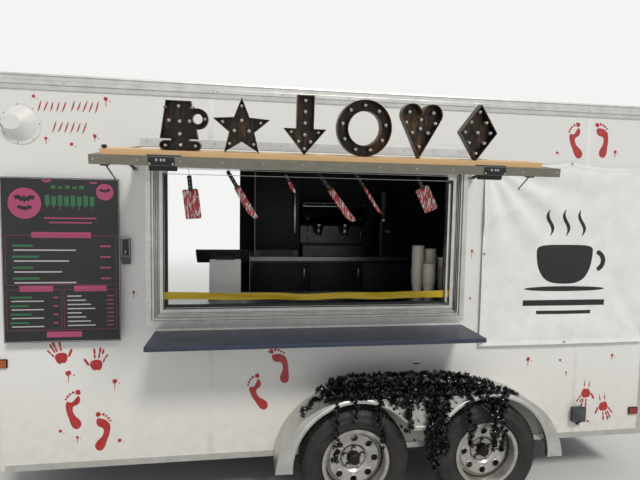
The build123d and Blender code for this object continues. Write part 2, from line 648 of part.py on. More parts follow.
# Leaf springs with hangers and equaliser, one set under each side rail
SPRING_W = 45
SPRING_Y = HALF - SKIN_T - RAIL_W / 2
EYE = 318                    # spring eye from the axle
EYE_Z = 297
EYE_R = 15
SEAT_Z = HUB_Z - BEAM_DROP + BEAM_R
LEAF = 8
with BuildPart() as springs:
    for side in SIDES.values():
        plane = Plane(origin=(0, side * SPRING_Y - SPRING_W / 2, 0), x_dir=(1, 0, 0), z_dir=(0, -1, 0))
        with BuildSketch(plane):
            for axle in AXLES.values():
                with BuildLine():
                    ThreePointArc((axle - EYE, EYE_Z), (axle, SEAT_Z + 2), (axle + EYE, EYE_Z))
                    Line((axle + EYE, EYE_Z), (axle + EYE, EYE_Z - LEAF))
                    lower = EYE_Z - LEAF
                    ThreePointArc((axle + EYE, lower), (axle, SEAT_Z - LEAF + 2), (axle - EYE, lower))
                    Line((axle - EYE, EYE_Z - LEAF), (axle - EYE, EYE_Z))
                make_face()
                with Locations((axle, SEAT_Z + 12)):
                    Rectangle(300, 22)
                with Locations((axle - EYE, EYE_Z), (axle + EYE, EYE_Z)):
                    Circle(EYE_R)
                outer = axle + (EYE if axle > AX else -EYE)
                with Locations((outer, (EYE_Z + FRAME_Z[0]) / 2)):
                    Rectangle(44, FRAME_Z[0] - EYE_Z + 8)
            with Locations((AX, EYE_Z)):
                Trapezoid(214, 24, 120, rotation=180)
            with Locations((AX, (EYE_Z + FRAME_Z[0]) / 2)):
                Rectangle(80, FRAME_Z[0] - EYE_Z + 8)
        extrude(amount=-SPRING_W)
    block((X_FRONT, X_REAR), (-HALF, HALF), (FRAME_Z[0], FRAME_Z[0] + 40), mode=Mode.SUBTRACT)
    for axle in AXLES.values():
        with Locations(Plane(origin=(axle, 0, HUB_Z - BEAM_DROP), z_dir=(0, 1, 0))):
            Cylinder(BEAM_R, BODY_W, mode=Mode.SUBTRACT)
save(springs.part, "leaf_springs")

# Wheels: distances outward are from the wheel's middle plane
RIM_HALF = 78
FLANGE = 6
BEAD_R = 190.5               # 15 in bead seat
BARREL_R = BEAD_R - 6
DISC_T = 6
VENTS = 8
VENT_R = 21
VENT_PCD = 258
HUB_HOLE_R = 42
DRUM_R = 128
for axle_name, axle in AXLES.items():
    for side_name, side in SIDES.items():
        name = f"{axle_name}_{side_name}"
        centre = Vector(axle, side * TRACK, HUB_Z)
        spin = Axis(centre, (0, 1, 0))
        section = Plane(origin=centre, x_dir=(1, 0, 0), z_dir=(0, 0, side))
        facing = Plane(origin=centre, x_dir=(1, 0, 0), z_dir=(0, side, 0))
        with BuildPart() as tyre:
            with BuildSketch(section):
                with BuildLine():
                    half = TYRE_W / 2
                    Line((BEAD_R, -RIM_HALF), (BEAD_R, RIM_HALF))
                    Line((BEAD_R, RIM_HALF), (RIM_R + 2, RIM_HALF))
                    ThreePointArc((RIM_R + 2, RIM_HALF), (262, half), (TYRE_R - 22, half - 12))
                    Line((TYRE_R - 22, half - 12), (TYRE_R - 7, half - 24))
                    ThreePointArc((TYRE_R - 7, half - 24), (TYRE_R, 0), (TYRE_R - 7, -half + 24))
                    Line((TYRE_R - 7, -half + 24), (TYRE_R - 22, -half + 12))
                    ThreePointArc((TYRE_R - 22, -half + 12), (262, -half), (RIM_R + 2, -RIM_HALF))
                    Line((RIM_R + 2, -RIM_HALF), (BEAD_R, -RIM_HALF))
                make_face()
            revolve(axis=spin)
        save(tyre.part, f"tyre_{name}")

        with BuildPart() as wheel:
            with BuildSketch(section):
                with BuildLine():
                    Polyline(
                        (HUB_HOLE_R, 0), (76, 0), (92, 14), (150, 20), (172, 2), (BARREL_R, -18),
                        (BARREL_R, -RIM_HALF - FLANGE), (RIM_R, -RIM_HALF - FLANGE), (RIM_R, -RIM_HALF),
                        (BEAD_R, -RIM_HALF), (BEAD_R, RIM_HALF), (RIM_R, RIM_HALF),
                        (RIM_R, RIM_HALF + FLANGE), (BARREL_R, RIM_HALF + FLANGE), (BARREL_R, 8),
                        (156, 27), (90, 20), (74, DISC_T),
                        (HUB_HOLE_R, DISC_T),
                        close=True,
                    )
                make_face()
            revolve(axis=spin)
            with BuildSketch(facing.offset(-10)):
                with PolarLocations(VENT_PCD / 2, VENTS):
                    Circle(VENT_R)
            extrude(amount=60, mode=Mode.SUBTRACT)
            with BuildSketch(section):
                with BuildLine():
                    Polyline(
                        (SPINDLE_R + 0.05, -74), (44, -74), (46, -20), (108, -18), (118, -30), (118, -78),
                        (DRUM_R, -78), (DRUM_R, -14), (74, -6), (70, 0), (42, 0), (33, 44), (24, 50),
                        (0, 50),
                        (0, 16), (SPINDLE_R + 0.05, 16),
                        close=True,
                    )
                make_face()
            revolve(axis=spin)
        save(wheel.part, f"wheel_{name}")

# Entry door, standing open on its front jamb
hatch_tip = HATCH_LEN * cos(tilt) + HATCH_N[1] * sin(tilt)
sign_tip = SIGN_OUT * cos(tilt) + (HATCH_N[1] + PLANK_T + SIGN_H) * sin(tilt)
reach = HALF + HINGE_OFF + max(hatch_tip + 4 * cos(tilt), sign_tip)
DOOR_HINGE_OFF = 14
DOOR_T = 45
door_axis_x = AX + DOOR_X[0] - 2
door_axis_y = HALF + DOOR_HINGE_OFF
swing = radians(DOOR_OPEN)
inner_face = -(DOOR_HINGE_OFF + DOOR_T - 5)
outer_face = -(DOOR_HINGE_OFF - 5)
door_wide = (reach - door_axis_y - inner_face * cos(swing)) / sin(swing)
leaf = Plane(origin=(door_axis_x, door_axis_y, 0), x_dir=(cos(swing), sin(swing), 0), z_dir=(0, 0, 1))
with BuildPart() as entry_door:
    with BuildSketch(leaf.offset(DOOR_Z[0] + 8)):
        with Locations(((door_wide + 10) / 2, (inner_face + outer_face) / 2)):
            Rectangle(door_wide - 10, DOOR_T)
    extrude(amount=DOOR_Z[1] - DOOR_Z[0] - 16)
    for height in (700, 1400, 2150):
        with BuildSketch(leaf.offset(height)):
            Circle(7)
            with Locations((12, outer_face + 2)):
                Rectangle(24, 5)
        extrude(amount=90)
    with BuildSketch(leaf.offset(1330)):
        with Locations((door_wide - 75, outer_face + 5)):
            Rectangle(62, 10)
        with Locations((door_wide - 75, inner_face - 5)):
            Rectangle(50, 10)
    extrude(amount=120)
    with BuildSketch(leaf.offset(1375)):
        with Locations((door_wide - 75, outer_face + 16)):
            Rectangle(40, 14)
    extrude(amount=30)
save(entry_door.part, "entry_door")

# Rear doors, each with a cam lock bar
REAR_GAP = 6
rear_half = HALF - REAR_POST
DOOR_BACK = 4
for name, side in SIDES.items():
    with BuildPart() as rear_door:
        block((X_REAR - DOOR_T + DOOR_BACK, X_REAR + DOOR_BACK), span(side, REAR_GAP / 2, rear_half - 6),
              (REAR_OPEN_Z[0] + 6, REAR_OPEN_Z[1] - 6))
        for height in (620, 1250, 1950, 2280):
            with Locations((X_REAR + 14, side * (rear_half + 10), height)):
                Cylinder(8, 100)
            block((X_REAR + DOOR_BACK, X_REAR + 10), span(side, rear_half - 110, rear_half + 10),
                  (height - 20, height + 20))
        with Locations((X_REAR + 34, side * 260, 1430)):
            Cylinder(12, 1850)
        for height in (560, 1000, 1800, 2300):
            block((X_REAR + DOOR_BACK, X_REAR + 34), span(side, 238, 282), (height - 25, height + 25))
        block((X_REAR + 38, X_REAR + 46), span(side, 150, 270), (1245, 1275))
        block((X_REAR + 34, X_REAR + REAR_HARDWARE), span(side, 180, 208), (1240, 1280))
    save(rear_door.part, f"rear_door_{name}")

# Lamps on the body: side markers, top clearance row, tail lamps
with BuildPart() as marker_lamps:
    for side in SIDES.values():
        for place, height in ((-2472, 957), (1622, 482)):
            lens_y = span(side, HALF, HALF + 14)
            block((AX + place - 32, AX + place + 32), lens_y, (height - 22, height + 22))
        block((X_FRONT - 14, X_FRONT), span(side, 820, 880), (1120, 1160))
    for place in (-160, 0, 160):
        block((X_REAR, X_REAR + 12), (place - 32, place + 32), (2470, 2495))
save(marker_lamps.part, "marker_lamps")
with BuildPart() as tail_lamps:
    for side in SIDES.values():
        with BuildSketch(Plane.YZ.offset(X_REAR)):
            with Locations((side * 880, 395)):
                SlotOverall(165, 56)
        extrude(amount=18)
save(tail_lamps.part, "tail_lamps")

# Plate bracket on the rear sill, with its two bolt holes
PLATE_BOLTS = 177.8
with BuildPart() as plate_bracket:
    block((X_REAR, X_REAR + 3), (-560, -250), (345, 445))
    block((X_REAR, X_REAR + 12), (-560, -250), (335, 345))
    for off in (-PLATE_BOLTS / 2, PLATE_BOLTS / 2):
        with Locations(Plane(origin=(X_REAR + 2, -405 + off, 425), z_dir=(1, 0, 0))):
            Cylinder(3.5, 12, mode=Mode.SUBTRACT)
save(plate_bracket.part, "plate_bracket")

# Scoop vents on both sides, and the roof vent with its lid
VENT_MID = (-2333, 2318)
ROOF_VENT_X = -700
ROOF_VENT_Z = ROOF_EDGE_Z + 60
with BuildPart() as vents:
    for side, place in ((-1, VENT_MID[0]), (1, 1250)):
        base = Plane(origin=(AX + place, side * HALF, VENT_MID[1]), x_dir=(1, 0, 0), z_dir=(0, side, 0))
        with BuildSketch(base):
            with BuildLine():
                ThreePointArc((-105, 0), (-20, 112), (105, 0))
                ThreePointArc((105, 0), (-20, -112), (-105, 0))
            make_face()
        extrude(amount=4)
        with BuildSketch(base.offset(4)):
            with BuildLine():
                ThreePointArc((-92, 0), (-20, 96), (84, 0))
                ThreePointArc((84, 0), (-20, -96), (-92, 0))
            make_face()
        with BuildSketch(base.offset(48)):
            with BuildLine():
                ThreePointArc((-88, 0), (-40, 40), (20, 0))
                ThreePointArc((20, 0), (-40, -40), (-88, 0))
            make_face()
        loft()
    block((AX + ROOF_VENT_X - 180, AX + ROOF_VENT_X + 180), (-180, 180), (ROOF_EDGE_Z, ROOF_VENT_Z))
    add(roof.part, mode=Mode.SUBTRACT)
    with BuildSketch(Plane.XY.offset(ROOF_VENT_Z)):
        with Locations((AX + ROOF_VENT_X, 0)):
            RectangleRounded(400, 400, 40)
    with BuildSketch(Plane.XY.offset(ROOF_VENT_Z + 45)):
        with Locations((AX + ROOF_VENT_X, 0)):
            RectangleRounded(330, 330, 40)
    loft()
save(vents.part, "vents")

# Power inlet and outlet boxes on the serving side
with BuildPart() as power_boxes:
    block((AX + 1140, AX + 1222), (S - 32, S), (432, 532))
    block((AX + 1134, AX + 1228), (S - 40, S - 32), (436, 538))
    block((AX - 1800, AX - 1757), (S - 30, S), (1532, 1682))
save(power_boxes.part, "power_boxes")

# Menu board on four standoffs
BOARD_X = (-2432, -1806)
BOARD_Z = (1088, 2020)
BOARD_OFF = 42
with BuildPart() as menu_board:
    block(at(BOARD_X), (S - BOARD_OFF - 4, S - BOARD_OFF), BOARD_Z)
    for place in (BOARD_X[0] + 60, BOARD_X[1] - 60):
        for height in (BOARD_Z[0] + 60, BOARD_Z[1] - 60):
            with Locations(Plane(origin=(AX + place, S - BOARD_OFF / 2, height), z_dir=(0, 1, 0))):
                Cylinder(6, BOARD_OFF)
save(menu_board.part, "menu_board")

# Banner hung on the serving wall
BANNER_X = (432, 1652)
BANNER_Z = (985, 2205)
with BuildPart() as banner:
    block(at(BANNER_X), (S - 8, S), BANNER_Z)
save(banner.part, "banner")

# Garland lying along the left fender's outer edge, with strands down over it
GARLAND_MID = S - 205
GARLAND_H = 66
HANGS = ((-560, 520), (-330, 470), (-60, 420), (90, 300), (330, 470), (560, 560))
with BuildPart() as garland:
    with BuildSketch(Plane.YZ.offset(AX - 640)):
        with Locations((GARLAND_MID, FENDER_TOP)):
            Ellipse(60, GARLAND_H)
        with Locations((GARLAND_MID, FENDER_TOP - GARLAND_H / 2)):
            Rectangle(200, GARLAND_H, mode=Mode.SUBTRACT)
    extrude(amount=1240)
    for place, low in HANGS:
        block((AX + place - 45, AX + place + 45), (-FENDER_OUT - 26, -FENDER_OUT), (low, FENDER_TOP + 30))
save(garland.part, "garland")

# Step under the entry door
with BuildPart() as entry_step:
    step_x = (AX + DOOR_X[0] + 160, AX + DOOR_X[1] - 160)
    block(step_x, (HALF - 40, HALF + 250), (250, 275))
    for place in step_x:
        edge = (place - 4, place + 4)
        block(edge, (HALF - 44, HALF - 10), (250, FRAME_Z[0]))
save(entry_step.part, "entry_step")

# Kitchen: counters, refrigerator, espresso machine, grinder and till
COUNTER_TOP = 1415
with BuildPart() as counter_galley:
    block((AX - 1054, AX + 1560), (HALF - WALL_T - 620, HALF - WALL_T), (DECK_Z, COUNTER_TOP - 35))
    block((AX - 1054, AX + 1560), (HALF - WALL_T - 640, HALF - WALL_T), (COUNTER_TOP - 35, COUNTER_TOP))
save(counter_galley.part, "counter_galley")
with BuildPart() as counter_serving:
    block((AX - 1620, AX + 620), (S + WALL_T + 8, S + 460), (DECK_Z, 1235))
    block((AX - 1640, AX + 640), (S + WALL_T + 8, S + 480), (1235, 1270))
save(counter_serving.part, "counter_serving")
with BuildPart() as fridge:
    block((AX - 1010, AX - 610), (HALF - WALL_T - 600, HALF - WALL_T - 20), (COUNTER_TOP, 2190))
save(fridge.part, "refrigerator")
with BuildPart() as espresso:
    with BuildSketch(Plane.YZ.offset(AX - 560)):
        back = HALF - WALL_T - 60
        with BuildLine():
            Polyline(
                (back, COUNTER_TOP), (back, 1890), (back - 420, 1890), (back - 450, 1780),
                (back - 400, 1720),
                (back - 250, 1690), (back - 250, 1520), (back - 470, 1510), (back - 470, COUNTER_TOP),
                close=True,
            )
        make_face()
    extrude(amount=600)
save(espresso.part, "espresso_machine")
with BuildPart() as grinder:
    with BuildSketch(Plane.XY.offset(COUNTER_TOP)):
        with Locations((AX + 280, HALF - WALL_T - 330)):
            RectangleRounded(170, 280, 30)
    extrude(amount=330)
    with BuildSketch(Plane.XY.offset(COUNTER_TOP + 330)):
        with Locations((AX + 280, HALF - WALL_T - 330)):
            Circle(55)
    with BuildSketch(Plane.XY.offset(COUNTER_TOP + 620)):
        with Locations((AX + 280, HALF - WALL_T - 330)):
            Circle(88)
    loft()
save(grinder.part, "coffee_grinder")
with BuildPart() as till:
    block((AX - 1330, AX - 1120), (S + 200, S + 380), (1270, 1290))
    with BuildSketch(Plane.YZ.offset(AX - 1330)):
        with BuildLine():
            Polyline((S + 230, 1290), (S + 260, 1560), (S + 285, 1556), (S + 275, 1290), close=True)
        make_face()
    extrude(amount=210)
save(till.part, "till")

print("body front", round(X_FRONT, 1), "rear", round(X_REAR, 1), "axle pair at", round(AX, 1))
print("hinge axis", round(hinge_y, 2), HINGE_Z, "reach", round(reach, 2), "door", round(door_wide, 1))
print("strut foot", round(strut_y, 2), STRUT_Z, "length", round(strut_len, 2),
      "angle", round(degrees(atan2(along.Z, -along.Y)), 2))
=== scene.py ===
"""Concession trailer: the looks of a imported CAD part, laid out as an add-on and run as a script."""

import json
import math
import random

import bmesh
import bpy
from bpy.props import FloatProperty, FloatVectorProperty, IntProperty, PointerProperty
from mathutils import Matrix, Vector, noise

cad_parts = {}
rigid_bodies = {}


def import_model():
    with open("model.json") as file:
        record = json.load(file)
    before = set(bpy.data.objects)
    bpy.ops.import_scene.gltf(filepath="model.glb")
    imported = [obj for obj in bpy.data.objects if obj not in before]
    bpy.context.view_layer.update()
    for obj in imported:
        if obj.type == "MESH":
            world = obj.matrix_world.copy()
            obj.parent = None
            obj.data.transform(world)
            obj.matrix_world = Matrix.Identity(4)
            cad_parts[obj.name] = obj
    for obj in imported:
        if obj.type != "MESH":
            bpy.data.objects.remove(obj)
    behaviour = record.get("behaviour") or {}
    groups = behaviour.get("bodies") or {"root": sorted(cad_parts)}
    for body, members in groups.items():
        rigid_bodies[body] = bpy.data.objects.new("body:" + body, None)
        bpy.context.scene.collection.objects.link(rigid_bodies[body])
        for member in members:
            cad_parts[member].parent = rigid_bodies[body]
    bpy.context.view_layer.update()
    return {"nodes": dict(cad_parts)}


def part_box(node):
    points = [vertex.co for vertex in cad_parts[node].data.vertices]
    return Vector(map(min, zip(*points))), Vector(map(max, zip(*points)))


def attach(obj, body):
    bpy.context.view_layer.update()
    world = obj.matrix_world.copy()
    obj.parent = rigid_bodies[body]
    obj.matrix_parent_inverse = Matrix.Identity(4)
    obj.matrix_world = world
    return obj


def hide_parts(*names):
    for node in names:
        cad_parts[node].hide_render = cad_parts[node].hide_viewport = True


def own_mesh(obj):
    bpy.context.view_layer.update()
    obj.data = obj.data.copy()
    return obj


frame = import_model()

bl_info = {
    "name": "Concession trailer finish",
    "version": (1, 0, 0),
    "blender": (4, 5, 0),
    "location": "View3D > Sidebar > Trailer",
    "description": "Builds the finish, trim and fittings of a concession trailer around its CAD frame",
    "category": "Add Mesh",
}

# Places in metres, most of them read from the frame
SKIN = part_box("wall_serving")[0].y                   # serving side's skin
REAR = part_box("rear_frame")[1].x
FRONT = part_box("corner_posts")[0].x
PAIR = (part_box("tyre_front_left")[0].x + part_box("tyre_rear_left")[1].x) / 2
HUB_Z = (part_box("tyre_front_left")[0].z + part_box("tyre_front_left")[1].z) / 2
SPREAD = 0.425                                       # from the axle pair's middle to an axle
AXLES = {"front": PAIR - SPREAD, "rear": PAIR + SPREAD}
SIDES = {"left": -1, "right": 1}
TRACK = 1.183                                        # from the middle to a wheel
HINGE = Vector((0, -1.089, 2.186))                   # hatch axis
TILT = math.radians(8.7)                             # hatch below level
OUT = Vector((0, -math.cos(TILT), -math.sin(TILT)))  # along the hatch, away from its hinge
UP = Vector((0, -math.sin(TILT), math.cos(TILT)))    # square to the hatch

# Radii of screw heads of 7, 8, 9 and 10 mm
HEAD_7, HEAD_8, HEAD_9, HEAD_10 = 0.0035, 0.004, 0.0045, 0.005

# From the hatch's own x, out and up to the trailer's axes
ON_HATCH = Matrix((
    (1, 0, 0, PAIR),
    (0, OUT.y, UP.y, HINGE.y),
    (0, OUT.z, UP.z, HINGE.z),
    (0, 0, 0, 1),
))
# From x, height and distance off the serving side's skin to the trailer's axes
ON_SKIN = Matrix((
    (1, 0, 0, PAIR),
    (0, 0, -1, SKIN),
    (0, 1, 0, 0),
    (0, 0, 0, 1),
))


def linear(hex_colour, alpha=1.0):
    """Linear colour of an sRGB hex value."""
    parts = [int(hex_colour[i:i + 2], 16) / 255 for i in (1, 3, 5)]
    return (*[p / 12.92 if p <= 0.04045 else ((p + 0.055) / 1.055) ** 2.4 for p in parts], alpha)


def add(tree, kind, settings=None, inputs=None, stops=()):
    """Add one node; an input takes a value or another node's socket, a ramp its stops."""
    made = tree.nodes.new(kind)
    for key, value in (settings or {}).items():
        setattr(made, key, value)
    for key, value in (inputs or {}).items():
        if isinstance(value, bpy.types.Node):
            value = value.outputs[0]
        if isinstance(value, bpy.types.NodeSocket):
            tree.links.new(value, made.inputs[key])
        else:
            made.inputs[key].default_value = value
    for i, (place, colour) in enumerate(stops):
        while len(made.color_ramp.elements) <= i:
            made.color_ramp.elements.new(place)
        made.color_ramp.elements[i].position = place
        made.color_ramp.elements[i].color = colour
    return made


def start(name):
    """A new material with an empty tree and its Object coordinates."""
    made = bpy.data.materials.new(name)
    made.use_nodes = True
    made.node_tree.nodes.clear()
    coords = add(made.node_tree, "ShaderNodeTexCoord").outputs["Object"]
    return made, made.node_tree, coords


def end(made, shader):
    """Join a shader to the material's output."""
    add(made.node_tree, "ShaderNodeOutputMaterial", inputs={"Surface": shader})
    return made


def clouded(name, cloud, tones, rough, grain=None, more=None):
    """A finish whose colour follows one cloudy pattern, and its roughness too where two are given.

    The cloud is the pattern's scale and detail. Tones are two colours or the stops of a ramp. The
    grain is the scale, detail, strength and distance of a finer bump.
    """
    made, tree, coords = start(name)
    pattern = add(tree, "ShaderNodeTexNoise",
                  inputs={"Vector": coords, "Scale": cloud[0], "Detail": cloud[1]})
    if len(tones[0]) == 2:
        tone = add(tree, "ShaderNodeValToRGB", inputs={"Fac": pattern}, stops=tones)
    else:
        tone = add(tree, "ShaderNodeMix", {"data_type": "RGBA"},
                   {0: pattern, 6: tones[0], 7: tones[1]}).outputs[2]
    inputs = {"Base Color": tone, "Roughness": rough, **(more or {})}
    if isinstance(rough, tuple):
        inputs["Roughness"] = add(tree, "ShaderNodeMapRange",
                                  inputs={"Value": pattern, "To Min": rough[0], "To Max": rough[1]})
    if grain:
        scale, detail, strength, distance = grain
        height = add(tree, "ShaderNodeTexNoise",
                     inputs={"Vector": coords, "Scale": scale, "Detail": detail})
        inputs["Normal"] = add(tree, "ShaderNodeBump", inputs={
            "Height": height, "Strength": strength, "Distance": distance})
    return end(made, add(tree, "ShaderNodeBsdfPrincipled", inputs=inputs))


def painted_sheet():
    """Prepainted aluminium sheet: satin white, faintly wavy between its studs, with dust near the road."""
    made, tree, coords = start("Prepainted aluminium sheet")
    white = bpy.context.scene.trailer_colours.skin
    # Waves about 350 mm across, where the thin sheet bows between its posts
    waves = add(tree, "ShaderNodeTexNoise", inputs={"Vector": coords, "Scale": 2.9, "Detail": 1.0})
    bump = add(tree, "ShaderNodeBump", inputs={"Height": waves, "Strength": 0.12, "Distance": 0.004})
    # Dust in patches of about 60 mm, thicker from 0.95 m down to 0.3 m
    patches = add(tree, "ShaderNodeTexNoise", inputs={"Vector": coords, "Scale": 16.0, "Detail": 5.0})
    height = add(tree, "ShaderNodeSeparateXYZ", inputs={"Vector": coords}).outputs["Z"]
    low = add(tree, "ShaderNodeMapRange", inputs={"Value": height, "From Min": 0.95, "From Max": 0.3})
    dust = add(tree, "ShaderNodeMath", {"operation": "MULTIPLY"}, {0: low, 1: patches})
    tone = add(tree, "ShaderNodeMix", {"data_type": "RGBA"},
               {0: dust, 6: (*white, 1), 7: linear("#cfc8ba")}).outputs[2]
    rough = add(tree, "ShaderNodeMapRange",
                inputs={"Value": patches, "To Min": 0.36, "To Max": 0.44})
    return end(made, add(tree, "ShaderNodeBsdfPrincipled", inputs={
        "Base Color": tone, "Roughness": rough, "Normal": bump, "IOR": 1.49}))


def mill_aluminium():
    """Mill finish aluminium extrusion: bright grey with fine draw lines and dull oxide patches."""
    made, tree, coords = start("Mill finish aluminium extrusion")
    grey = bpy.context.scene.trailer_colours.aluminium
    # Die lines run along the extrusion; 3 mm apart, coarser than real ones so that they show
    lines = add(tree, "ShaderNodeMapping", inputs={"Vector": coords, "Scale": (1.5, 330.0, 330.0)})
    drawn = add(tree, "ShaderNodeTexNoise", inputs={"Vector": lines, "Scale": 1.0, "Detail": 2.0})
    oxide = add(tree, "ShaderNodeTexNoise", inputs={"Vector": coords, "Scale": 14.0, "Detail": 4.0})
    tone = add(tree, "ShaderNodeMix", {"data_type": "RGBA"},
               {0: oxide, 6: (*grey, 1), 7: linear("#b2b2ae")}).outputs[2]
    rough = add(tree, "ShaderNodeMapRange",
                inputs={"Value": drawn, "To Min": 0.26, "To Max": 0.48})
    bump = add(tree, "ShaderNodeBump", inputs={"Height": drawn, "Strength": 0.12, "Distance": 0.0006})
    return end(made, add(tree, "ShaderNodeBsdfPrincipled", inputs={
        "Base Color": tone, "Roughness": rough, "Normal": bump, "Metallic": 1.0}))


def shade_darkened_aluminium():
    """Aluminium bar: painted grey-brown as painted shade, with runs of road film, only dully bright."""
    made, tree, coords = start("Shade-darkened aluminium bar")
    # The grey-brown base colour is painted shade, darker than the bar's own aluminium
    grey = bpy.context.scene.trailer_colours.hatch_bar
    # Runs of dirt 40 mm long along the bar
    runs = add(tree, "ShaderNodeMapping", inputs={"Vector": coords, "Scale": (25.0, 90.0, 90.0)})
    film = add(tree, "ShaderNodeTexNoise", inputs={"Vector": runs, "Scale": 1.0, "Detail": 5.0})
    tone = add(tree, "ShaderNodeMix", {"data_type": "RGBA"},
               {0: film, 6: (*grey, 1), 7: linear("#8c897f")}).outputs[2]
    rough = add(tree, "ShaderNodeMapRange", inputs={"Value": film, "To Min": 0.34, "To Max": 0.6})
    return end(made, add(tree, "ShaderNodeBsdfPrincipled", inputs={
        "Base Color": tone, "Roughness": rough, "Metallic": 0.85}))


def treadplate():
    """Bright treadplate: cold-rolled aluminium, mirror-dull with scuffs on the lugs."""
    return clouded("Bright aluminium treadplate", (60.0, 6.0), (linear("#e4e5e6"), linear("#c3c4c4")),
                   (0.2, 0.42), more={"Metallic": 1.0})


def chassis_enamel():
    """Black chassis enamel: brushed-on gloss gone dull, with dust in its hollows."""
    # Road dust in patches of 50 mm, and orange peel 4 mm across
    return clouded("Black chassis enamel", (20.0, 5.0), ((0.42, linear("#131314")), (0.8, linear("#4b453d"))),
                   0.42, grain=(250.0, 1.0, 0.15, 0.0005), more={"IOR": 1.5})


def zinc_plate():
    """Bright zinc plating: blue-grey steel with the faint bloom of passivation."""
    return clouded("Zinc-plated steel", (45.0, 4.0), (linear("#c5c8cb"), linear("#9a9c96")),
                   (0.22, 0.5), more={"Metallic": 1.0})


def wheel_lacquer():
    """Silver wheel lacquer: flake paint under clear coat, with brown smudges of road dust, painted shade and
    a painted reflection of the ground.
    """
    made, tree, coords = start("Silver wheel lacquer")
    silver = bpy.context.scene.trailer_colours.wheels
    # Metal flake is finer than a pixel, so it is drawn at 1 mm; brown 40 mm smudges hold road dust together
    # with painted shade and a painted reflection of the ground
    flake = add(tree, "ShaderNodeTexVoronoi", inputs={"Vector": coords, "Scale": 1000.0})
    smudge = add(tree, "ShaderNodeTexNoise", inputs={"Vector": coords, "Scale": 24.0, "Detail": 5.0})
    dust_shade_and_reflection = add(tree, "ShaderNodeMapRange",
                inputs={"Value": smudge, "From Min": 0.35, "From Max": 0.8, "To Max": 0.6})
    tone = add(tree, "ShaderNodeMix", {"data_type": "RGBA"},
               {0: dust_shade_and_reflection, 6: (*silver, 1), 7: linear("#7d715b")}).outputs[2]
    bump = add(tree, "ShaderNodeBump", inputs={"Height": flake, "Strength": 0.06, "Distance": 0.0003})
    return end(made, add(tree, "ShaderNodeBsdfPrincipled", inputs={
        "Base Color": tone, "Roughness": 0.34, "Metallic": 0.75, "Coat Weight": 0.5,
        "Coat Roughness": 0.12, "Normal": bump}))


def rusty_iron():
    """Cast hub iron: black scale with brown rust in blotches and grease in between."""
    made, tree, coords = start("Rusty hub iron")
    # Blotches of about 12 mm with finer grain in them
    blotch = add(tree, "ShaderNodeTexNoise", inputs={"Vector": coords, "Scale": 80.0, "Detail": 5.0})
    tone = add(tree, "ShaderNodeValToRGB", inputs={"Fac": blotch},
               stops=((0.4, linear("#15110f")), (0.6, linear("#2b1d15")), (0.75, linear("#553522"))))
    rough = add(tree, "ShaderNodeMapRange", inputs={"Value": blotch, "To Min": 0.35, "To Max": 0.8})
    bump = add(tree, "ShaderNodeBump", inputs={"Height": blotch, "Strength": 0.4, "Distance": 0.001})
    return end(made, add(tree, "ShaderNodeBsdfPrincipled", inputs={
        "Base Color": tone, "Roughness": rough, "Metallic": 0.4, "Normal": bump}))


def tyre_rubber():
    """Tyre rubber: moulded, near black, greyed by dust towards its tread."""
    # Dust in patches of 80 mm over grit of 2 mm
    return clouded("Moulded tyre rubber", (13.0, 6.0), ((0.35, linear("#111112")), (0.75, linear("#2c2a27"))),
                   0.62, grain=(420.0, 3.0, 0.25, 0.0008), more={"IOR": 1.52})


def shade_darkened_lining():
    """Lining board: matt panels inside the body, painted dark charcoal as painted shade, faintly scuffed."""
    return clouded("Lining board darkened as painted shade", (30.0, 6.0),
                   ((0.35, linear("#1f2022")), (0.8, linear("#36373a"))), 0.55, more={"IOR": 1.46})


def floor_vinyl():
    """Coin-pattern floor vinyl: mid grey with raised 20 mm coins and worn lanes."""
    made, tree, coords = start("Coin-pattern floor vinyl")
    # Coins stand 30 mm apart
    coins = add(tree, "ShaderNodeTexVoronoi", {"feature": "F1"},
                {"Vector": coords, "Scale": 33.0, "Randomness": 0.0})
    raised = add(tree, "ShaderNodeMapRange", inputs={
        "Value": coins.outputs["Distance"], "From Min": 0.36, "From Max": 0.3})
    wear = add(tree, "ShaderNodeTexNoise", inputs={"Vector": coords, "Scale": 7.0, "Detail": 5.0})
    tone = add(tree, "ShaderNodeMix", {"data_type": "RGBA"},
               {0: wear, 6: linear("#5c5e61"), 7: linear("#3e3f42")}).outputs[2]
    bump = add(tree, "ShaderNodeBump", inputs={"Height": raised, "Strength": 0.5, "Distance": 0.001})
    return end(made, add(tree, "ShaderNodeBsdfPrincipled", inputs={
        "Base Color": tone, "Roughness": 0.45, "Normal": bump}))


def pine_board():
    """Planed pine: pale honey with long grain along the plank and a few knots."""
    made, tree, coords = start("Planed pine board")
    pine = bpy.context.scene.trailer_colours.plank
    # Growth rings 9 mm apart on the face, drawn out twenty times along the board
    along = add(tree, "ShaderNodeMapping", inputs={"Vector": coords, "Scale": (5.0, 110.0, 110.0)})
    grain = add(tree, "ShaderNodeTexNoise", inputs={"Vector": along, "Scale": 1.0, "Detail": 6.0,
                                                   "Distortion": 0.6})
    knots = add(tree, "ShaderNodeTexVoronoi", inputs={"Vector": coords, "Scale": 3.4})
    knot = add(tree, "ShaderNodeMapRange", inputs={
        "Value": knots.outputs["Distance"], "From Min": 0.06, "From Max": 0.02})
    tone = add(tree, "ShaderNodeMix", {"data_type": "RGBA"},
               {0: grain, 6: (*pine, 1), 7: linear("#dab07a")}).outputs[2]
    tone = add(tree, "ShaderNodeMix", {"data_type": "RGBA"},
               {0: knot, 6: tone, 7: linear("#6d4522")}).outputs[2]
    bump = add(tree, "ShaderNodeBump", inputs={"Height": grain, "Strength": 0.25, "Distance": 0.001})
    return end(made, add(tree, "ShaderNodeBsdfPrincipled", inputs={
        "Base Color": tone, "Roughness": 0.6, "Normal": bump}))


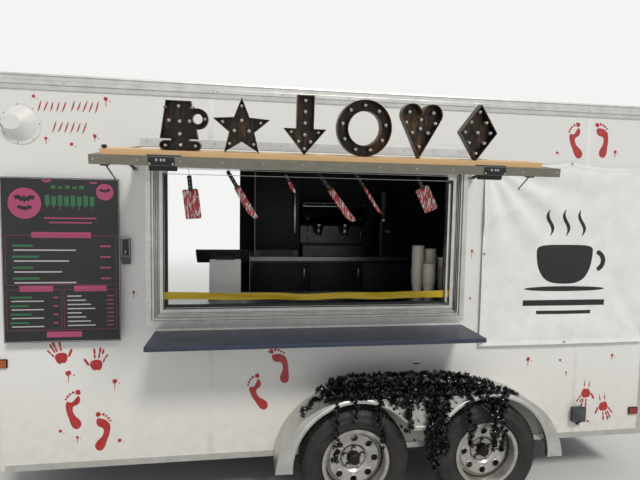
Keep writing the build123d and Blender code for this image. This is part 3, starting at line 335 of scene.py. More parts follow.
def blackened_steel():
    """Blackened sheet steel: sooty black lacquer with rust running down in streaks."""
    made, tree, coords = start("Blackened sheet steel")
    black = bpy.context.scene.trailer_colours.sign
    # Rust streaks 10 mm wide and some 150 mm long, thickest at the foot
    drawn = add(tree, "ShaderNodeMapping", inputs={"Vector": coords, "Scale": (85.0, 85.0, 7.0)})
    streaks = add(tree, "ShaderNodeTexNoise", inputs={"Vector": drawn, "Scale": 1.0, "Detail": 4.0})
    patches = add(tree, "ShaderNodeTexNoise", inputs={"Vector": coords, "Scale": 11.0, "Detail": 3.0})
    both = add(tree, "ShaderNodeMath", {"operation": "MULTIPLY"}, {0: streaks, 1: patches})
    rust = add(tree, "ShaderNodeMapRange",
               inputs={"Value": both, "From Min": 0.24, "From Max": 0.46, "To Max": 0.9})
    tone = add(tree, "ShaderNodeMix", {"data_type": "RGBA"},
               {0: rust, 6: (*black, 1), 7: linear("#7a5636")}).outputs[2]
    rough = add(tree, "ShaderNodeMapRange", inputs={"Value": rust, "To Min": 0.36, "To Max": 0.75})
    bump = add(tree, "ShaderNodeBump", inputs={"Height": streaks, "Strength": 0.2, "Distance": 0.001})
    return end(made, add(tree, "ShaderNodeBsdfPrincipled", inputs={
        "Base Color": tone, "Roughness": rough, "Metallic": 0.35, "Normal": bump}))


def lamp_glass():
    """Clear lamp glass: smooth and bright, faintly clouded by its seeds."""
    made, tree, coords = start("Clear lamp glass")
    seeds = add(tree, "ShaderNodeTexNoise", inputs={"Vector": coords, "Scale": 300.0})
    tone = add(tree, "ShaderNodeMix", {"data_type": "RGBA"},
               {0: seeds, 6: linear("#f4f2ea"), 7: linear("#d8d2c2")}).outputs[2]
    return end(made, add(tree, "ShaderNodeBsdfPrincipled", inputs={
        "Base Color": tone, "Roughness": 0.06, "IOR": 1.5, "Transmission Weight": 0.35,
        "Coat Weight": 0.4}))


def navy_laminate():
    """High-pressure laminate: dark navy, satin, with a fine pebbled texture and wiped smears."""
    navy = bpy.context.scene.trailer_colours.shelf
    # Smears of 110 mm over pebbles of 2 mm
    return clouded("Navy laminate", (9.0, 5.0), ((*navy, 1), linear("#343e52")), (0.32, 0.52),
                   grain=(500.0, 2.0, 0.15, 0.0004))


def banner_vinyl():
    """Coated banner vinyl: soft white sheet over a scrim whose threads just show."""
    made, tree, coords = start("Coated banner vinyl")
    white = bpy.context.scene.trailer_colours.banner
    # Scrim threads lie 1.4 mm apart, drawn at 4 mm so that they show at all
    upright = add(tree, "ShaderNodeMapping", inputs={"Vector": coords, "Rotation": (math.pi / 2, 0, 0)})
    scrim = add(tree, "ShaderNodeTexBrick", inputs={
        "Vector": upright, "Scale": 250.0, "Mortar Size": 0.08, "Brick Width": 1.0,
        "Row Height": 1.0})
    crease_relief_and_shade = add(tree, "ShaderNodeTexNoise", inputs={
        "Vector": coords, "Scale": 9.0, "Detail": 2.0, "Distortion": 0.3})
    # The crease noise also greys the white: painted shade along the creases
    tone = add(tree, "ShaderNodeMix", {"data_type": "RGBA"},
               {0: crease_relief_and_shade, 6: (*white, 1), 7: linear("#dcdcda")}).outputs[2]
    fine = add(tree, "ShaderNodeBump", inputs={
        "Height": scrim.outputs["Fac"], "Strength": 0.06, "Distance": 0.0003})
    bump = add(tree, "ShaderNodeBump", inputs={
        "Height": crease_relief_and_shade, "Strength": 0.25, "Distance": 0.005, "Normal": fine})
    return end(made, add(tree, "ShaderNodeBsdfPrincipled", inputs={
        "Base Color": tone, "Roughness": 0.42, "Normal": bump, "Sheen Weight": 0.05}))


def printed(name, colour, worn, rough=0.5):
    """Solid printing ink: even colour that thins a little where it has rubbed."""
    made, tree, coords = start(name)
    rubbed = add(tree, "ShaderNodeTexNoise", inputs={"Vector": coords, "Scale": 90.0, "Detail": 6.0})
    thin = add(tree, "ShaderNodeMapRange", inputs={
        "Value": rubbed, "From Min": 0.55, "From Max": 0.85, "To Max": 0.6})
    tone = add(tree, "ShaderNodeMix", {"data_type": "RGBA"},
               {0: thin, 6: (*colour, 1), 7: linear(worn)}).outputs[2]
    return end(made, add(tree, "ShaderNodeBsdfPrincipled", inputs={
        "Base Color": tone, "Roughness": rough}))


def black_ink():
    """Black banner ink: dense, satin."""
    return printed("Black banner ink", linear("#121213")[:3], "#3a3a3a")


def pink_ink():
    """Pink board ink, as on a printed panel."""
    return printed("Pink board ink", linear("#a8486d")[:3], "#6f3049")


def green_ink():
    """Green board ink, as on a printed panel."""
    return printed("Green board ink", linear("#2f6b43")[:3], "#1f4630")


def pale_ink():
    """Pale grey board ink for the thin rules."""
    return printed("Pale board ink", linear("#b9b4b4")[:3], "#7c7878")


def board_panel():
    """Printed board: matt black face over corrugated plastic whose flutes just telegraph."""
    made, tree, coords = start("Black printed panel")
    # Flutes are upright; 8 mm apart, twice as coarse as real ones so that they show
    upright = add(tree, "ShaderNodeMapping", inputs={"Vector": coords, "Scale": (250.0, 1.0, 1.0)})
    flutes = add(tree, "ShaderNodeTexWave", {"wave_type": "BANDS"}, {"Vector": upright, "Scale": 0.16})
    smears = add(tree, "ShaderNodeTexNoise", inputs={"Vector": coords, "Scale": 5.0, "Detail": 5.0})
    tone = add(tree, "ShaderNodeMix", {"data_type": "RGBA"},
               {0: smears, 6: linear("#101012"), 7: linear("#26242a")}).outputs[2]
    bump = add(tree, "ShaderNodeBump", inputs={
        "Height": flutes.outputs["Fac"], "Strength": 0.08, "Distance": 0.0004})
    return end(made, add(tree, "ShaderNodeBsdfPrincipled", inputs={
        "Base Color": tone, "Roughness": 0.35, "Normal": bump}))


def black_foil():
    """Metallised black foil: hard glints from thin curled flakes."""
    return clouded("Metallised black foil", (90.0, 2.0),
                   ((0.35, linear("#0c0c0e")), (0.75, linear("#2c2c31"))), (0.12, 0.4),
                   more={"Metallic": 0.6, "Coat Weight": 0.6})


def red_cling():
    """Red cling vinyl: glossy gel print, thin and streaky towards its edges."""
    made, tree, coords = start("Red cling vinyl")
    red = bpy.context.scene.trailer_colours.cling
    # Brushed streaks 5 mm apart, drawn out down the wall
    drawn = add(tree, "ShaderNodeMapping", inputs={"Vector": coords, "Scale": (180.0, 180.0, 45.0)})
    streaks = add(tree, "ShaderNodeTexNoise", inputs={"Vector": drawn, "Scale": 1.0, "Detail": 4.0})
    tone = add(tree, "ShaderNodeValToRGB", inputs={"Fac": streaks},
               stops=((0.3, linear("#8c1512")), (0.55, (*red, 1)), (0.8, linear("#cb4a40"))))
    return end(made, add(tree, "ShaderNodeBsdfPrincipled", inputs={
        "Base Color": tone, "Roughness": 0.18, "IOR": 1.53, "Coat Weight": 0.3}))


def barrier_film():
    """Yellow barrier film: thin polythene with stretch lines along it."""
    made, tree, coords = start("Yellow barrier film")
    yellow = bpy.context.scene.trailer_colours.tape
    drawn = add(tree, "ShaderNodeMapping", inputs={"Vector": coords, "Scale": (6.0, 60.0, 260.0)})
    lines = add(tree, "ShaderNodeTexNoise", inputs={"Vector": drawn, "Scale": 1.0, "Detail": 3.0})
    tone = add(tree, "ShaderNodeMix", {"data_type": "RGBA"},
               {0: lines, 6: (*yellow, 1), 7: linear("#c9a70a")}).outputs[2]
    bump = add(tree, "ShaderNodeBump", inputs={"Height": lines, "Strength": 0.3, "Distance": 0.001})
    return end(made, add(tree, "ShaderNodeBsdfPrincipled", inputs={
        "Base Color": tone, "Roughness": 0.3, "Normal": bump, "Transmission Weight": 0.05}))


def lens(name, colour):
    """Moulded acrylic lens: clear colour over fine upright flutes that break up the light."""
    made, tree, coords = start(name)
    # Flutes 6 mm apart
    flutes = add(tree, "ShaderNodeTexWave", {"wave_type": "BANDS"}, {"Vector": coords, "Scale": 52.0})
    tone = add(tree, "ShaderNodeMix", {"data_type": "RGBA"},
               {0: flutes.outputs["Fac"], 6: linear(colour), 7: linear("#2a0d08")}).outputs[2]
    bump = add(tree, "ShaderNodeBump", inputs={
        "Height": flutes.outputs["Fac"], "Strength": 0.4, "Distance": 0.001})
    return end(made, add(tree, "ShaderNodeBsdfPrincipled", inputs={
        "Base Color": tone, "Roughness": 0.12, "Normal": bump, "IOR": 1.49, "Coat Weight": 0.5}))


def red_lens():
    """Red acrylic of the tail and rear marker lamps."""
    return lens("Red acrylic lens", "#b3151b")


def amber_lens():
    """Amber acrylic of the front marker lamps."""
    return lens("Amber acrylic lens", "#d9720f")


def moulded(name, light, dark, rough):
    """Injection-moulded plastic: even colour under a fine spark-eroded grain."""
    return clouded(name, (18.0, 4.0), (linear(light), linear(dark)), rough,
                   grain=(600.0, 2.0, 0.12, 0.0003), more={"IOR": 1.46})


def white_plastic():
    """White polypropylene of the vents, a little chalky from the sun."""
    return moulded("White polypropylene", "#eeeeec", "#d5d4cf", 0.42)


def grey_plastic():
    """Grey ABS of the power boxes."""
    return moulded("Grey moulded ABS", "#505255", "#3a3b3e", 0.45)


def black_plastic():
    """Black nylon of handles, knobs and seals."""
    return moulded("Black moulded nylon", "#151517", "#26272a", 0.4)


def cup_paper():
    """Waxed paper board of the stacked cups."""
    return moulded("Waxed paper board", "#e9e4da", "#cfc7b8", 0.5)


def brushed(name, light, dark):
    """Brushed stainless: long even scratch lines and soft smudges."""
    made, tree, coords = start(name)
    brush = add(tree, "ShaderNodeMapping", inputs={"Vector": coords, "Scale": (4.0, 4.0, 420.0)})
    lines = add(tree, "ShaderNodeTexNoise", inputs={"Vector": brush, "Scale": 1.0, "Detail": 3.0})
    smudge = add(tree, "ShaderNodeTexNoise", inputs={"Vector": coords, "Scale": 12.0, "Detail": 4.0})
    tone = add(tree, "ShaderNodeMix", {"data_type": "RGBA"},
               {0: smudge, 6: linear(light), 7: linear(dark)}).outputs[2]
    rough = add(tree, "ShaderNodeMapRange", inputs={"Value": lines, "To Min": 0.2, "To Max": 0.42})
    return end(made, add(tree, "ShaderNodeBsdfPrincipled", inputs={
        "Base Color": tone, "Roughness": rough, "Metallic": 1.0}))


def stainless_sheet():
    """Plain brushed stainless of worktops, handles and groups."""
    return brushed("Brushed stainless sheet", "#b4b6b8", "#8f9193")


def shade_darkened_stainless():
    """Stainless of the machines and cabinets with the same brushing, painted dark grey as painted shade."""
    return brushed("Stainless sheet darkened as painted shade", "#505256", "#36383b")


def prop_blade():
    """Prop blades: cloudy white styrene smeared with streaks of red paint."""
    made, tree, coords = start("Smeared styrene blade")
    red = bpy.context.scene.trailer_colours.cling
    # Paint dragged in 9 mm streaks at a slant
    slant = add(tree, "ShaderNodeMapping", inputs={
        "Vector": coords, "Rotation": (0.0, 0.6, 0.0), "Scale": (110.0, 110.0, 20.0)})
    drag = add(tree, "ShaderNodeTexNoise", inputs={"Vector": slant, "Scale": 1.0, "Detail": 5.0})
    smear = add(tree, "ShaderNodeMapRange", inputs={"Value": drag, "From Min": 0.52, "From Max": 0.56})
    tone = add(tree, "ShaderNodeMix", {"data_type": "RGBA"},
               {0: smear, 6: (*red, 1), 7: linear("#e6e1dd")}).outputs[2]
    return end(made, add(tree, "ShaderNodeBsdfPrincipled", inputs={
        "Base Color": tone, "Roughness": 0.25, "Coat Weight": 0.2}))


LOOKS = {
    "skin": painted_sheet, "aluminium": mill_aluminium, "hatch_bar": shade_darkened_aluminium,
    "treadplate": treadplate, "enamel": chassis_enamel, "zinc": zinc_plate, "lacquer": wheel_lacquer,
    "rubber": tyre_rubber, "lining": shade_darkened_lining, "floor": floor_vinyl, "pine": pine_board,
    "sign": blackened_steel, "glass": lamp_glass, "shelf": navy_laminate, "banner": banner_vinyl,
    "black_ink": black_ink, "pink_ink": pink_ink, "green_ink": green_ink, "pale_ink": pale_ink,
    "board": board_panel, "foil": black_foil, "cling": red_cling, "tape": barrier_film,
    "red_lens": red_lens, "amber_lens": amber_lens, "white_plastic": white_plastic,
    "grey_plastic": grey_plastic, "black_plastic": black_plastic, "paper": cup_paper,
    "stainless": stainless_sheet, "blade": prop_blade, "grime": rusty_iron,
    "black_steel": shade_darkened_stainless,
}
MADE = {}


def look(name):
    """The material of that name, made at its first use."""
    if name not in MADE:
        MADE[name] = LOOKS[name]()
    return MADE[name]


def paint(bm, slot):
    """Give the faces made since the last call a material slot."""
    done = bm.faces.layers.int.get("done") or bm.faces.layers.int.new("done")
    for face in bm.faces:
        if not face[done]:
            face[done] = 1
            face.material_index = slot


def soften(bm, edges, width):
    """Bevel some edges."""
    bmesh.ops.bevel(bm, geom=list(edges), offset=width, offset_type="OFFSET", segments=2,
                    profile=0.5, affect="EDGES", material=-1, clamp_overlap=True)


def block(bm, lo, hi, edge=0.0, slot=0, place=Matrix()):
    """A block with bevelled edges between two opposite corners, in either order."""
    lo, hi = Vector([min(ends) for ends in zip(lo, hi)]), Vector([max(ends) for ends in zip(lo, hi)])
    size = Matrix.Diagonal((*(hi - lo), 1))
    made = bmesh.ops.create_cube(bm, size=1, matrix=place @ Matrix.Translation((lo + hi) / 2) @ size)
    if edge:
        soften(bm, {e for vert in made["verts"] for e in vert.link_edges}, edge)
    paint(bm, slot)


def blocks(bm, corners, edge=0.0, slot=0, place=Matrix()):
    """Several blocks of one finish."""
    for lo, hi in corners:
        block(bm, lo, hi, edge, slot, place)


def rod(bm, start_at, end_at, radius, tip=None, sides=16, edge=0.0, slot=0, place=Matrix()):
    """A round bar or cone between two points, its rims bevelled."""
    first, last = place @ Vector(start_at), place @ Vector(end_at)
    axis = last - first
    turn = axis.to_track_quat("Z", "Y").to_matrix().to_4x4()
    made = bmesh.ops.create_cone(bm, cap_ends=True, segments=sides, radius1=radius,
                                 radius2=radius if tip is None else tip, depth=axis.length,
                                 matrix=Matrix.Translation((first + last) / 2) @ turn)
    if edge:
        rims = {e for v in made["verts"] for e in v.link_edges
                if any(len(face.verts) > 4 for face in e.link_faces)}
        soften(bm, rims, edge)
    paint(bm, slot)


def turned(bm, profile, centre, axis, steps=48, slot=0, angle=2 * math.pi, begin=None):
    """Spin a profile of (radius, along) points about an axis."""
    centre, axis = Vector(centre), Vector(axis).normalized()
    side = Vector(begin) if begin else axis.orthogonal().normalized()
    verts = [bm.verts.new(centre + side * radius + axis * along) for radius, along in profile]
    edges = [bm.edges.new(pair) for pair in zip(verts, verts[1:])]
    whole = abs(angle) > 6.28
    bmesh.ops.spin(bm, geom=verts + edges, cent=centre, axis=axis, angle=angle, steps=steps,
                   use_merge=whole)
    bmesh.ops.remove_doubles(bm, verts=bm.verts, dist=1e-6)
    paint(bm, slot)


def plate(bm, outline, thick, edge=0.0, slot=0, place=Matrix()):
    """A flat plate from an outline in x and y, raised by its thickness."""
    face = bm.faces.new([bm.verts.new(place @ Vector((x, y, 0))) for x, y in outline])
    made = bmesh.ops.extrude_face_region(bm, geom=[face], use_keep_orig=True)
    raised = [item for item in made["geom"] if isinstance(item, bmesh.types.BMVert)]
    bmesh.ops.translate(bm, verts=raised, vec=place.to_3x3() @ Vector((0, 0, thick)))
    if edge:
        rim = {e for v in raised for e in v.link_edges if all(corner in raised for corner in e.verts)}
        soften(bm, rim, edge)
    paint(bm, slot)


def drawn(bm, outlines, thick, slot=0, place=Matrix(), smooth=True):
    """Flat shapes of some thickness from closed outlines, rounded by a curve."""
    curve = bpy.data.curves.new("outline", "CURVE")
    curve.dimensions = "2D"
    curve.fill_mode = "BOTH"
    curve.extrude = thick / 2
    curve.resolution_u = 5
    for points in outlines:
        spline = curve.splines.new("NURBS" if smooth else "POLY")
        spline.points.add(len(points) - 1)
        for point, (x, y) in zip(spline.points, points):
            point.co = (x, y, thick / 2, 1)
        spline.use_cyclic_u = True
        if smooth:
            spline.order_u = 3
    holder = bpy.data.objects.new("outline", curve)
    mesh = bpy.data.meshes.new_from_object(holder)
    mesh.transform(Matrix.Translation((0, 0, thick / 2)))
    mesh.transform(place)
    bm.from_mesh(mesh)
    bpy.data.objects.remove(holder)
    bpy.data.curves.remove(curve)
    bpy.data.meshes.remove(mesh)
    paint(bm, slot)


def screws(bm, places, outward, radius=None, slot=0):
    """Pan-head screws standing on a surface."""
    radius = radius or bpy.context.scene.trailer_sizes.screw_head / 2
    turn = Vector(outward).to_track_quat("Z", "Y").to_matrix().to_4x4()
    for place in places:
        middle = Vector(place) + Vector(outward) * radius * 0.28
        bmesh.ops.create_cone(bm, cap_ends=True, segments=10, radius1=radius, radius2=radius * 0.55,
                              depth=radius * 0.56, matrix=Matrix.Translation(middle) @ turn)
    paint(bm, slot)


def piece(name, bm, looks, body="trailer", replaces=(), angle=38):
    """Close a bmesh into a finished piece that rides on a body."""
    bmesh.ops.remove_doubles(bm, verts=bm.verts, dist=2e-6)
    bmesh.ops.recalc_face_normals(bm, faces=bm.faces)
    done = bm.faces.layers.int.get("done")
    if done:
        bm.faces.layers.int.remove(done)
    mesh = bpy.data.meshes.new(name)
    bm.to_mesh(mesh)
    bm.free()
    mesh.polygons.foreach_set("use_smooth", [True] * len(mesh.polygons))
    mesh.set_sharp_from_angle(angle=math.radians(angle))
    for finish in looks:
        mesh.materials.append(look(finish))
    made = bpy.data.objects.new(name, mesh)
    bpy.context.scene.collection.objects.link(made)
    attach(made, body)
    if replaces:
        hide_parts(*replaces)
    return made


def steps_between(first, last, pitch):
    """Even places from first to last, about one pitch apart."""
    count = max(1, round((last - first) / pitch))
    return [first + (last - first) * i / count for i in range(count + 1)]


def swatch(name, description, default):
    """A colour property whose default is an sRGB hex value."""
    return FloatVectorProperty(name=name, description=description, subtype="COLOR", size=3,
                               min=0.0, max=1.0, default=linear(default)[:3])


def measure(name, description, default, least, most):
    """A length property in metres."""
    return FloatProperty(name=name, description=description, default=default, min=least, max=most,
                         unit="LENGTH")


class TrailerColours(bpy.types.PropertyGroup):
    """Colours of the finish."""

    skin: swatch("Skin", "White of the painted sheets", "#e6e6e3")
    aluminium: swatch("Aluminium", "Bare rails and frames", "#dcdcda")
    # The hatch bar's default colour is painted shade
    hatch_bar: swatch("Hatch bar", "Frame of the hatch, darkened as painted shade", "#716e63")
    wheels: swatch("Wheels", "Silver lacquer of the rims", "#bfbfbb")
    shelf: swatch("Shelf", "Laminate of the serving shelf", "#20283c")
    plank: swatch("Plank", "Pine board on the hatch", "#ecc896")
    sign: swatch("Sign", "Lacquer of the lamp shapes", "#1b1713")
    banner: swatch("Banner", "Ground of the hung banner", "#f6f6f6")
    cling: swatch("Cling prints", "Red of the prints and drops on the skin", "#b62220")
    tape: swatch("Barrier tape", "Yellow of the film across the window", "#e2c71c")


class TrailerSizes(bpy.types.PropertyGroup):
    """Sizes and spacings of the fittings."""

    screw_head: measure("Screw head", "Diameter of the trim screws' heads", 0.011, 0.004, 0.03)
    rail_pitch: measure("Rail screw pitch", "Distance between screws on the top rails", 0.406, 0.05, 1.0)
    trim_pitch: measure("Trim screw pitch", "Distance between screws on the bottom trims",
                        0.203, 0.05, 1.0)
    seam_pitch: measure("Seam screw pitch", "Distance between screws on the lap seams", 0.102, 0.03, 1.0)
    seam_width: measure("Seam width", "Width of the lapped strip at a seam", 0.03, 0.01, 0.1)
    tread_blocks: IntProperty(
        name="Tread blocks", description="Shoulder blocks round a tyre", default=72, min=24, max=120)
    bulb: measure("Bulb", "Diameter of a lamp bulb", 0.016, 0.006, 0.03)
    fold: measure("Banner folds", "Depth of the banner's folds", 0.024, 0.0, 0.04)
    flake: measure("Foil flake", "Length of a flake of the garland", 0.0158, 0.005, 0.05)
    tuft_pitch: measure("Garland tufts", "Distance between tufts of foil along the garland",
                        0.0118, 0.005, 0.1)


class TrailerStage(bpy.types.PropertyGroup):
    """Camera and light."""

    lens: FloatProperty(
        name="Lens", description="Focal length on a 36 mm sensor", default=27.06, min=10.0,
        max=200.0, unit="CAMERA")
    key: FloatProperty(
        name="Key light", description="Strength of the soft main light", default=1.7, min=0.0,
        max=10.0)
    fill: FloatProperty(
        name="Fill light", description="Strength of the light from all round", default=0.5, min=0.0,
        max=2.0)
    floor: swatch("Floor", "Colour of the floor", "#d9d9d7")


# The machines and counters take a stainless painted dark as painted shade
NODE_LOOKS = {
    "axles": "enamel", "banner": "banner", "bottom_trims": "aluminium", "chassis_frame": "enamel",
    "coffee_grinder": "black_plastic", "corner_posts": "skin", "counter_galley": "black_steel",
    "counter_serving": "black_steel", "coupler": "zinc", "entry_door": "skin", "entry_step": "treadplate",
    "espresso_machine": "black_steel", "fenders": "aluminium", "floor_deck": "floor", "garland": "foil",
    "hatch_edge": "hatch_bar", "hatch_latches": "black_plastic", "hatch_panel": "skin",
    "hinge_rail": "aluminium", "jack_leg": "zinc", "jack_tube": "enamel", "leaf_springs": "enamel",
    "marker_lamps": "red_lens", "menu_board": "board", "plate_bracket": "enamel",
    "power_boxes": "grey_plastic", "rear_door_left": "skin", "rear_door_right": "skin",
    "rear_frame": "aluminium", "refrigerator": "black_steel", "roof": "skin", "serving_shelf": "shelf",
    "shelf_rail": "aluminium", "sign_lamps": "sign", "sign_plank": "pine", "stone_guard": "treadplate",
    "strut_brackets": "zinc", "strut_rod_front": "zinc", "strut_rod_rear": "zinc",
    "strut_tube_front": "black_plastic", "strut_tube_rear": "black_plastic", "tail_lamps": "red_lens",
    "till": "black_plastic", "top_rails": "aluminium", "tyre_front_left": "rubber",
    "tyre_front_right": "rubber", "tyre_rear_left": "rubber", "tyre_rear_right": "rubber",
    "vents": "white_plastic", "wall_entry": "skin", "wall_front": "skin", "wall_serving": "skin",
    "wheel_front_left": "lacquer", "wheel_front_right": "lacquer", "wheel_rear_left": "lacquer",
    "wheel_rear_right": "lacquer", "window_frame": "aluminium",
}
LINED = ("wall_entry", "wall_front", "wall_serving", "corner_posts", "roof")
HUB_RADIUS = 0.0415
# A node's second finish, and the faces that take it
SECOND_LOOKS = {
    "rear_door_left": ("zinc", lambda middle: middle.x > REAR + 0.005),
    "rear_door_right": ("zinc", lambda middle: middle.x > REAR + 0.005),
    "marker_lamps": ("amber_lens", lambda middle: middle.x < PAIR),
    "window_frame": ("black_plastic", lambda middle: middle.y > SKIN + 0.032),
    "entry_door": ("aluminium", lambda middle: middle.y < 1.09 or middle.y > 1.985),
    "counter_galley": ("stainless", lambda middle: middle.z > 1.37),
    "counter_serving": ("stainless", lambda middle: middle.z > 1.23),
}
for axle_name, axle_x in AXLES.items():
    for side_name in SIDES:
        SECOND_LOOKS[f"wheel_{axle_name}_{side_name}"] = (
            "grime", lambda middle, hub=axle_x: math.hypot(middle.x - hub, middle.z - HUB_Z) < HUB_RADIUS)


class TRAILER_OT_frame_finish(bpy.types.Operator):
    """Give every part of the frame its material"""
    bl_idname = "trailer.frame_finish"
    bl_label = "Frame finish"

    def execute(self, context):
        for node, finish in NODE_LOOKS.items():
            holder = frame["nodes"][node]
            for part in (holder, *holder.children_recursive):
                if part.type == "MESH":
                    self.dress(part, node, finish)
        return {"FINISHED"}

    def dress(self, part, node, finish):
        """One finish all over, and a second on the faces that its place calls for."""
        part.data.materials.clear()
        part.data.materials.append(look(finish))
        # Inner faces take the lining, whose dark colour is painted shade
        second, where = ("lining", self.indoors) if node in LINED else SECOND_LOOKS.get(node, (None, None))
        if second:
            part.data.materials.append(look(second))
            for face in part.data.polygons:
                face.material_index = int(where(part.matrix_world @ face.center))

    def indoors(self, middle):
        """True for a place on the inner faces of the body."""
        return (abs(middle.y) < -SKIN - 0.04 and FRONT + 0.04 < middle.x < REAR - 0.01
                and 0.46 < middle.z < 2.56)


class TRAILER_OT_stage(bpy.types.Operator):
    """Floor, lights, world and the camera at the photograph's angle"""
    bl_idname = "trailer.stage"
    bl_label = "Stage"

    # Where the camera stood, and how it was turned, from the photograph's own perspective
    EYE = Vector((-0.1415, -4.006, 1.888))
    YAW = math.radians(8.80)
    PITCH = math.radians(-4.04)
    ROLL = math.radians(0.98)
    BACK = linear("#f4f4f3")
    SUN_FROM = Vector((0.32, -1.0, 1.2))
    FLOOR_HALF = 150

    def execute(self, context):
        scene = context.scene
        stage = scene.trailer_stage
        self.floor(scene)
        self.lights(scene, stage)
        lens = bpy.data.cameras.new("Camera")
        lens.lens = stage.lens
        lens.sensor_width = 36
        lens.clip_end = 400
        camera = bpy.data.objects.new("Camera", lens)
        scene.collection.objects.link(camera)
        ahead = Vector((math.sin(self.YAW) * math.cos(self.PITCH),
                        math.cos(self.YAW) * math.cos(self.PITCH), math.sin(self.PITCH)))
        right = Vector((math.cos(self.YAW), -math.sin(self.YAW), 0))
        up = right.cross(ahead)
        across = math.cos(self.ROLL) * right + math.sin(self.ROLL) * up
        upright = math.cos(self.ROLL) * up - math.sin(self.ROLL) * right
        turn = Matrix((across, upright, -ahead)).transposed().to_4x4()
        camera.matrix_world = Matrix.Translation(self.EYE) @ turn
        scene.camera = camera
        scene.view_settings.view_transform = "Standard"
        return {"FINISHED"}

    def seen(self, tree):
        """One for rays from the camera, by mirror or through glass, which show the background."""
        path = add(tree, "ShaderNodeLightPath")
        straight = add(tree, "ShaderNodeMath", {"operation": "MAXIMUM"},
                       {0: path.outputs["Is Camera Ray"], 1: path.outputs["Is Glossy Ray"]})
        return add(tree, "ShaderNodeMath", {"operation": "MAXIMUM"},
                   {0: straight, 1: path.outputs["Is Transmission Ray"]})

    def floor(self, scene):
        """A wide floor that fades into the background far from the trailer."""
        bm = bmesh.new()
        bmesh.ops.create_grid(bm, x_segments=4, y_segments=4, size=self.FLOOR_HALF)
        mesh = bpy.data.meshes.new("floor")
        bm.to_mesh(mesh)
        bm.free()
        ground = bpy.data.objects.new("floor", mesh)
        scene.collection.objects.link(ground)
        made, tree, coords = start("Pale studio floor")
        far = add(tree, "ShaderNodeVectorMath", {"operation": "LENGTH"}, {0: coords}).outputs["Value"]
        fade = add(tree, "ShaderNodeMapRange", {"interpolation_type": "SMOOTHSTEP"},
                   {"Value": far, "From Min": 6.0, "From Max": 16.0})
        seen = self.seen(tree)
        share = add(tree, "ShaderNodeMath", {"operation": "MULTIPLY"}, {0: fade, 1: seen})
        matt = add(tree, "ShaderNodeBsdfPrincipled", inputs={
            "Base Color": (*scene.trailer_stage.floor, 1), "Roughness": 0.9,
            "Specular IOR Level": 0.2})
        glow = add(tree, "ShaderNodeEmission", inputs={"Color": self.BACK, "Strength": 1.0})
        both = add(tree, "ShaderNodeMixShader", inputs={0: share, 1: matt, 2: glow})
        mesh.materials.append(end(made, both))

    def lights(self, scene, stage):
        """A soft sun from the front right and an even glow from all round."""
        world = bpy.data.worlds.new("Studio")
        world.use_nodes = True
        scene.world = world
        tree = world.node_tree
        tree.nodes.clear()
        seen = self.seen(tree)
        fill = add(tree, "ShaderNodeBackground", inputs={
            "Color": linear("#f2f5fa"), "Strength": stage.fill})
        back = add(tree, "ShaderNodeBackground", inputs={"Color": self.BACK, "Strength": 1.0})
        both = add(tree, "ShaderNodeMixShader", inputs={0: seen, 1: fill, 2: back})
        add(tree, "ShaderNodeOutputWorld", inputs={"Surface": both})
        sun = bpy.data.lights.new("Key", "SUN")
        sun.energy = stage.key
        sun.angle = math.radians(13)
        sun.color = linear("#fffaf2")[:3]
        holder = bpy.data.objects.new("Key", sun)
        scene.collection.objects.link(holder)
        holder.rotation_euler = self.SUN_FROM.to_track_quat("Z", "Y").to_euler()


class TRAILER_OT_seams(bpy.types.Operator):
    """Lap seams of the skins, each a thin strip with its line of screws"""
    bl_idname = "trailer.seams"
    bl_label = "Skin seams"

    # Place as x from the axle pair, lower and upper end
    SERVING = ((-1.302, 0.352, 1.104), (-1.302, 2.27, 2.506), (1.161, 0.352, 2.506))
    ENTRY = ((-0.07, 0.352, 2.506), (1.161, 0.352, 2.506))
    PROUD = 0.0009               # the strip's face off the skin

    def execute(self, context):
        sizes = context.scene.trailer_sizes
        half = sizes.seam_width / 2
        bm = bmesh.new()
        heads = bmesh.new()
        for side, rows in ((-1, self.SERVING), (1, self.ENTRY)):
            skin = side * -SKIN
            for at_x, low, high in rows:
                middle = PAIR + at_x
                block(bm, (middle - half, skin - side * 0.0002, low),
                      (middle + half, skin + side * self.PROUD, high), edge=0.0004)
                places = [(middle - half * 0.45, skin + side * self.PROUD, z)
                          for z in steps_between(low + 0.03, high - 0.03, sizes.seam_pitch)]
                screws(heads, places, (0, side, 0), radius=HEAD_7)
        block(bm, (FRONT - self.PROUD, -half, 1.004), (FRONT + 0.0002, half, 2.5), edge=0.0004)
        screws(heads, [(FRONT - self.PROUD, 0, z) for z in steps_between(1.03, 2.48, sizes.seam_pitch)],
               (-1, 0, 0), radius=HEAD_7)
        piece("skin_seams", bm, ["skin"])
        piece("seam_screws", heads, ["skin"])
        return {"FINISHED"}


